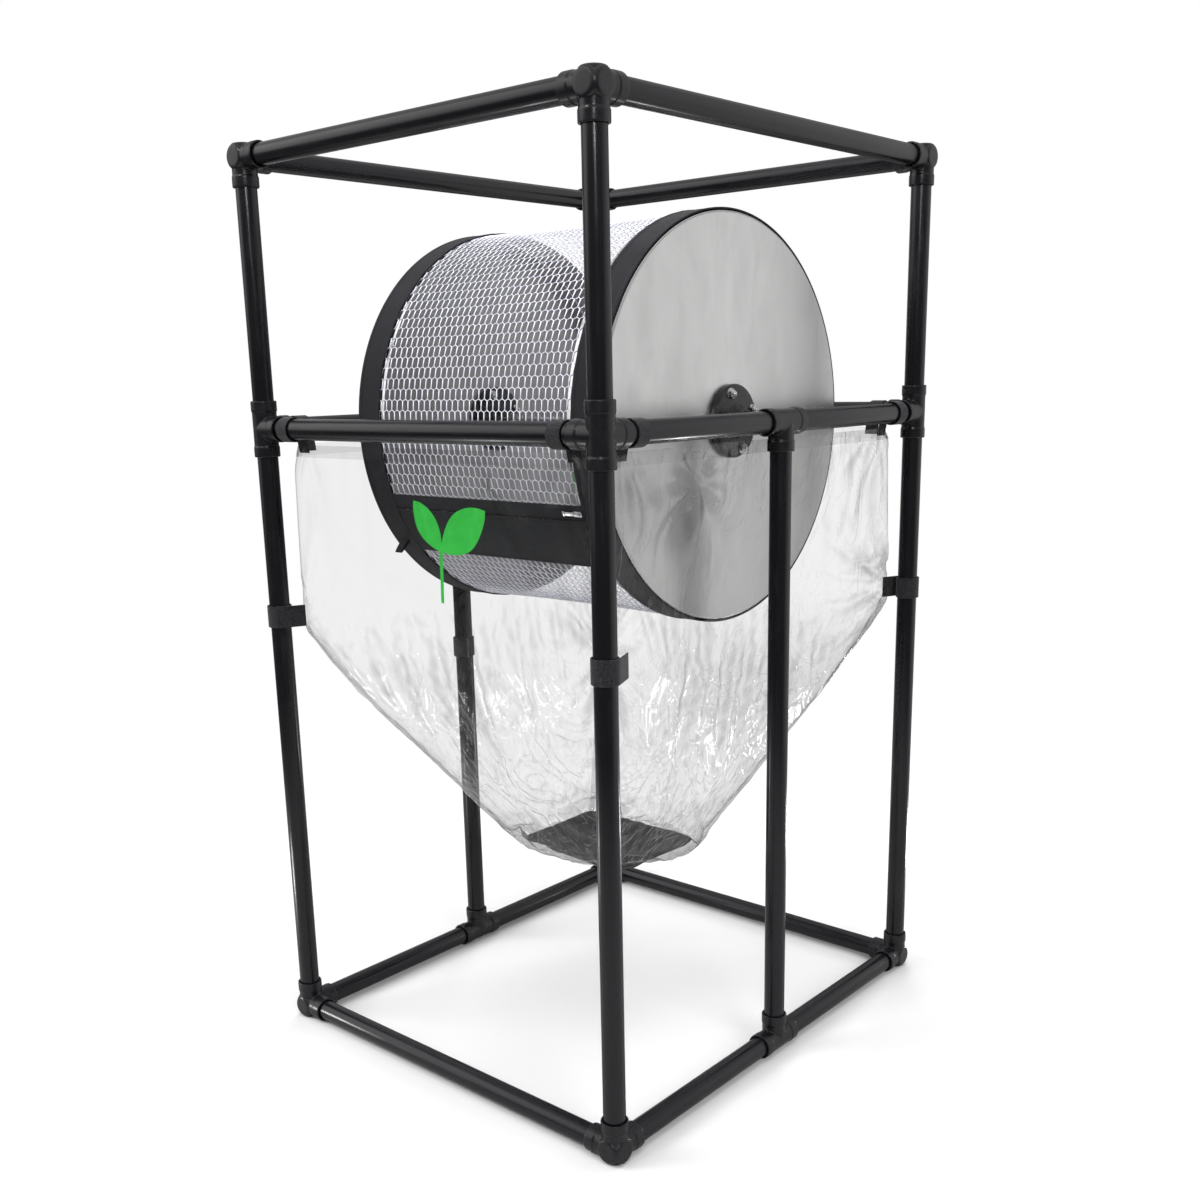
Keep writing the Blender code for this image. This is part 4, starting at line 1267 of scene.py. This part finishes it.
def steepness(points):
    """How far the film leans from its own smoothed shape at each point, as a slope."""
    normals = grid_normals(points)
    smooth = normals
    for _ in range(SMOOTHING):
        padded = np.concatenate([smooth[:1], smooth, smooth[-1:]])
        sides = np.roll(smooth, 1, axis=1) + np.roll(smooth, -1, axis=1)
        smooth = (padded[:-2] + padded[2:] + sides + 2 * smooth) / 6
    smooth = smooth / np.linalg.norm(smooth, axis=-1, keepdims=True)
    lean = np.clip((normals * smooth).sum(axis=-1), 0.2, 1.0)
    return np.sqrt(1 - lean**2) / lean


def bag_uv(cols, depth):
    return np.stack(np.meshgrid(np.linspace(0, UV_GIRTH, cols + 1), depth), axis=-1)


def film_strip(points, depth, rows, cols, thickness):
    """A thin closed strip on the outside of the film, over some of its rows and columns."""
    pick = np.ix_(rows, cols)
    lower, out = points[pick], grid_normals(points)[pick]
    uv = np.stack(np.meshgrid(np.array(cols) / points.shape[1] * UV_GIRTH, depth[rows]), axis=-1)
    return shell_between(lower + out * (STRIP_LIFT + thickness), lower + out * STRIP_LIFT, uv)


def build_bag():
    points, depth = bag_rings()
    points = drape_bag(grid_mesh("bag", points, wrap_cols=True), points)
    points = finer(points)
    depth = np.interp(np.arange(points.shape[0]) / 2, np.arange(len(depth)), depth)
    outlet = 2 * (WALL_ROWS + FUNNEL_ROWS)
    points = crinkled(points, depth, depth[outlet] + 0.012)
    cols = points.shape[1]
    film_points, film_depth = points[: outlet + 1], depth[: outlet + 1]
    film_mesh = grid_mesh("film", film_points, bag_uv(cols, film_depth), wrap_cols=True)
    # The steepness of the folds, kept as a layer that the film's finish turns into painted shade
    layer = film_mesh.attributes.new(SHADE_SLOPE_LAYER, "FLOAT", "POINT")
    layer.data.foreach_set("value", steepness(film_points).astype(np.float32).ravel())
    film = piece("bag_film", film_mesh, FILM, "root", ["catch_bag"], 180)
    panel = grid_mesh("panel", points[outlet:], bag_uv(cols, depth[outlet:]), wrap_cols=True)
    panel = piece("bag_bottom_panel", closed_panel(panel, cols), PANEL, "root",
                  ["bag_bottom"], 180)
    build_bag_trim(points, depth, outlet)


def closed_panel(mesh, cols):
    """The bottom panel with its middle filled and a little thickness."""
    bm = opened(mesh)
    bm.faces.new(bm.verts[-cols:])
    return thickened(closed(bm, "panel", outward=True), PANEL_THICKNESS)


def build_bag_trim(points, depth, outlet):
    """The hem and the welded corner seams."""
    cols = points.shape[1]
    hem_rows = np.flatnonzero(depth <= HEM_HEIGHT + 0.001)
    hem = film_strip(points, depth, hem_rows, np.arange(cols + 1) % cols, 0.0006)
    piece("bag_hem", tidied(hem), FILM_DOUBLE, "root")
    seams = []
    seam_rows = np.arange(2 * WALL_ROWS - 2, outlet + 1)
    corner = 2 * SIDE_STEPS[1]
    for index in range(4):
        middle = corner + CORNER_STEPS
        seams.append(film_strip(points, depth, seam_rows, np.arange(middle - 4, middle + 5), 0.0007))
        corner += 2 * CORNER_STEPS + 2 * SIDE_STEPS[index % 2]
    piece("bag_corner_seams", joined("seams", seams), FILM_DOUBLE, "root")


# ---------------------------------------------------------------- straps and tabs


WRAP_STEPS = 40
TAIL_STEPS = 10
STRAP_PLAY = 0.0003
STRAP_THICKNESS = 0.0020
STRAP_TAIL = 0.043
TAB_WIDTH = 0.025
TAB_THICKNESS = 0.0016
TAB_TAIL = (BAG_INSET + 0.0016, -0.038)

# How far each wrap goes round its pipe, and where a rail tab leaves its rail, in degrees
POST_WRAP, CENTRE_WRAP, TAB_WRAP = 1.06 * 360, 1.12 * 360, 400
TAB_LEAVES = -18
# The way that each post strap's tail goes, in degrees from +X
TAIL_TURNS = {("front", "right"): 86, ("front", "left"): 38, ("back", "right"): 218, ("back", "left"): -40}


def wrap_path(radius, start, turns, rise, tail):
    """A strap's path in a plane: round a pipe by an angle, its end over its start, then a straight tail.

    Returns points and outward normals as 2D arrays. start is the angle where the wrap begins.
    """
    angles = np.linspace(start, start + turns, WRAP_STEPS)
    normals = np.stack([np.cos(angles), np.sin(angles)], axis=-1)
    points = normals * (radius + rise * np.linspace(0, 1, WRAP_STEPS))[:, None]
    run = np.linspace(0, 1, TAIL_STEPS)[1:, None]
    reach = np.array(tail, float) - points[-1]
    out = np.array([reach[1], -reach[0]]) / np.linalg.norm(reach)
    if out @ normals[-1] < 0:
        out = -out
    blend = np.clip(run * 3, 0, 1)
    tail_normals = normals[-1] * (1 - blend) + out * blend
    return np.vstack([points, points[-1] + reach * run]), np.vstack([normals, tail_normals])


def wrap(name, pipe_name, centre, plane, angles, tail, width, thickness=STRAP_THICKNESS):
    """A hook and loop wrap round a pipe, in the plane of two directions about a centre.

    angles are where it starts and how far it goes round, in degrees.
    """
    centre, (first, second) = Vector(centre), plane
    start, turns = (math.radians(angle) for angle in angles)
    radius = PIPE_RADIUS + STRAP_PLAY + thickness / 2
    flat_points, flat_normals = wrap_path(radius, start, turns, thickness * 1.05, tail)
    path = [centre + first * p[0] + second * p[1] for p in flat_points]
    normals = [(first * n[0] + second * n[1]).normalized() for n in flat_normals]
    mesh = strip("strap", path, normals, first.cross(second), width, thickness)
    made = piece(name, mesh, LOOP_TAPE, "root")


def build_straps():
    """The wraps on the posts and the narrow tabs on the mid rails, with their tails to the film."""
    for depth, side in CORNERS:
        turn = TAIL_TURNS[depth, side]
        tail = Vector((math.cos(math.radians(turn)), math.sin(math.radians(turn)))) * STRAP_TAIL
        centre = (SIDES[side] * POST_X, DEPTHS[depth] * POST_Y, STRAP_Z)
        wrap(f"post_strap_{depth}_{side}", f"lower_post_{depth}_{side}_pipe", centre, (X, Y),
             (turn - 70 - POST_WRAP, POST_WRAP), tail, STRAP_WIDTH)
    wrap("post_strap_centre_left", "centre_post_left_pipe", (-POST_X, 0, CENTRE_STRAP_Z), (X, Y),
         (-1.2 * 360, CENTRE_WRAP), (0.030, -0.014), STRAP_WIDTH)
    for depth, side in CORNERS:
        sx, sy = SIDES[side], DEPTHS[depth]
        across = (sx * (POST_X - RAIL_TAB_OFFSET), sy * POST_Y, MID_Z)
        along = (sx * POST_X, sy * (POST_Y - RAIL_TAB_OFFSET), MID_Z)
        tabs = (("across", across, Y * -sy, depth), ("along", along, X * -sx, f"{side}_{depth}"))
        for way, centre, inward, rail in tabs:
            wrap(f"rail_tab_{depth}_{side}_{way}", f"mid_rail_{rail}_pipe", centre, (inward, Z),
                 (TAB_LEAVES - TAB_WRAP, TAB_WRAP), TAB_TAIL, TAB_WIDTH, TAB_THICKNESS)


# ---------------------------------------------------------------- printed mark


SPRIG = Vector((0.006, 0, 0.860))
LEAVES = [(32, 0.125, 0.030), (122, 0.088, 0.022)]
LEAF_STEPS = 14
STEM = [(-0.014, -0.080), (-0.008, -0.081), (0.004, 0.006), (-0.003, 0.006)]
INK_THICKNESS = 0.0003


def leaf_points(turn, length, width):
    """The outline of a pointed leaf, turned from +X by degrees."""
    upper = [(length * t, width * math.sin(math.pi * t) ** 0.8) for t in np.linspace(0, 1, LEAF_STEPS)]
    lower = [(x, -y) for x, y in reversed(upper[1:-1])]
    return [Matrix.Rotation(math.radians(turn), 2) @ Vector(point) for point in upper + lower]


def build_print():
    """A plain two-leaf sprig printed on the front of the bag, laid on the film."""
    graph = bpy.context.evaluated_depsgraph_get()
    tree = BVHTree.FromObject(bpy.data.objects["bag_film"], graph)
    bm = bmesh.new()
    for shape in [leaf_points(*leaf) for leaf in LEAVES] + [[Vector(point) for point in STEM]]:
        corners = [bm.verts.new((SPRIG.x + p.x, -1.0, SPRIG.z + p.y)) for p in shape]
        inner = bmesh.ops.triangulate(bm, faces=[bm.faces.new(corners)])["faces"]
        for _ in range(2):
            edges = list(dict.fromkeys(edge for face in inner for edge in face.edges))
            split = bmesh.ops.subdivide_edges(bm, edges=edges, cuts=1, use_grid_fill=True)
            parts = split["geom_inner"] + split["geom"]
            inner = [part for part in parts if isinstance(part, bmesh.types.BMFace)]
    for vert in bm.verts:
        vert.co = tree.ray_cast(vert.co, Y)[0] - Y * 0.0006
    piece("bag_leaf_print", thickened(closed(bm, "print"), INK_THICKNESS), PRINT, "root")


# ---------------------------------------------------------------- studio and camera


# Bright screens: direction, where each starts and is full (as a cosine), and its brightness
SCREENS = [
    ((0.60, 0.78, -0.16), 0.60, 0.95, 0.58),
    ((-0.90, 0.35, 0.05), 0.88, 0.97, 0.35),
    ((-0.72, -0.52, 0.42), 0.86, 0.95, 1.10),
]

# Lamps that light cloth without greying plastic, and small ones that show in glossy surfaces:
# name, place, size and power
LAMPS = [
    ("key", (-2.6, -3.0, 3.0), 2.2, 150),
    ("fill", (3.4, -1.2, 2.2), 1.8, 90),
    ("top", (0.2, 0.2, 4.0), 3.0, 120),
    ("back", (-1.6, 3.2, 2.4), 1.8, 80),
]
GLINTS = [
    ("glint_right", (2.2, -2.6, 2.4), 0.25, 14),
    ("glint_high", (-0.4, -2.8, 3.4), 0.30, 16),
    ("glint_low_front", (-0.75, -0.80, 0.05), 0.12, 1.0),
    ("glint_low_right", (0.45, 0.95, 0.05), 0.12, 1.6),
]

CAMERA_PLACE = (1.4608, -1.6907, 1.1147)
CAMERA_AZIMUTH, CAMERA_ELEVATION, CAMERA_ROLL = 41.303, 13.764, -1.281
CAMERA_LENS, CAMERA_SHIFT = 39.13, (0.0040, 0.0770)


def build_floor():
    bm = bmesh.new()
    bmesh.ops.create_circle(bm, cap_ends=True, segments=96, radius=FLOOR_RADIUS)
    mesh = closed(bm, "floor")
    mesh.materials.append(floor_finish())
    floor = bpy.data.objects.new("floor", mesh)
    bpy.context.scene.collection.objects.link(floor)


def soft_light(name, place, size, power, mirrored):
    """A square lamp that points at the middle of the object. It shows in gloss only if mirrored."""
    lamp = bpy.data.lights.new(name, "AREA")
    lamp.shape = "SQUARE"
    lamp.size = size
    lamp.energy = power
    obj = bpy.data.objects.new(name, lamp)
    obj.location = place
    aim = Vector((0, 0, 0.8)) - Vector(place)
    obj.rotation_euler = aim.to_track_quat("-Z", "Y").to_euler()
    obj.visible_camera = False
    obj.visible_glossy = mirrored
    bpy.context.scene.collection.objects.link(obj)


def glow(tree, direction, toward, start, full, level):
    """A soft bright patch of the studio round one direction."""
    toward = Vector(toward).normalized()
    inputs = {0: direction, 1: toward}
    near = add(tree, "VectorMath", inputs, operation="DOT_PRODUCT").outputs["Value"]
    return ramp(tree, near, start, full, 0.0, level)


def build_studio():
    """White behind the object. Its reflections show a dim room with bright screens in it."""
    world = bpy.data.worlds.new("studio")
    bpy.context.scene.world = world
    world.use_nodes = True
    tree = world.node_tree
    direction = add(tree, "TexCoord").outputs["Generated"]
    height = parts_of(tree, direction)[2]
    level = ramp(tree, height, -0.2, 0.2, 0.10, 0.18)
    level = plus(tree, level, ramp(tree, height, 0.2, 0.95, 0.0, 0.50))
    for screen in SCREENS:
        level = plus(tree, level, glow(tree, direction, *screen))
    seen = add(tree, "LightPath").outputs["Is Camera Ray"]
    strength = add(tree, "Mix", {0: seen, 2: level, 3: 1.0}).outputs[0]
    background = tree.nodes["Background"]
    tree.links.new(strength, background.inputs["Strength"])
    background.inputs["Color"].default_value = (1, 1, 1, 1)
    for lamps, mirrored in ((LAMPS, False), (GLINTS, True)):
        for lamp in lamps:
            soft_light(*lamp, mirrored)


def build_camera():
    """The camera's Z axis points back from the view. Its X axis is turned by the roll."""
    data = bpy.data.cameras.new("camera")
    data.lens = CAMERA_LENS
    data.shift_x, data.shift_y = CAMERA_SHIFT
    turn, tilt, roll = (math.radians(a) for a in (CAMERA_AZIMUTH, CAMERA_ELEVATION, CAMERA_ROLL))
    back = Vector((math.sin(turn) * math.cos(tilt), -math.cos(turn) * math.cos(tilt), math.sin(tilt)))
    level = (-back).cross(Z).normalized()
    up = level.cross(-back)
    right = level * math.cos(roll) + up * math.sin(roll)
    above = up * math.cos(roll) - level * math.sin(roll)
    camera = bpy.data.objects.new("camera", data)
    axes = Matrix((right, above, back)).transposed().to_4x4()
    camera.matrix_world = Matrix.Translation(CAMERA_PLACE) @ axes
    bpy.context.scene.collection.objects.link(camera)
    bpy.context.scene.camera = camera


bpy.context.scene.view_settings.view_transform = "Standard"
build_camera()
build_studio()
build_floor()
build_frame()
build_drum()
build_bag()
build_straps()
build_print()
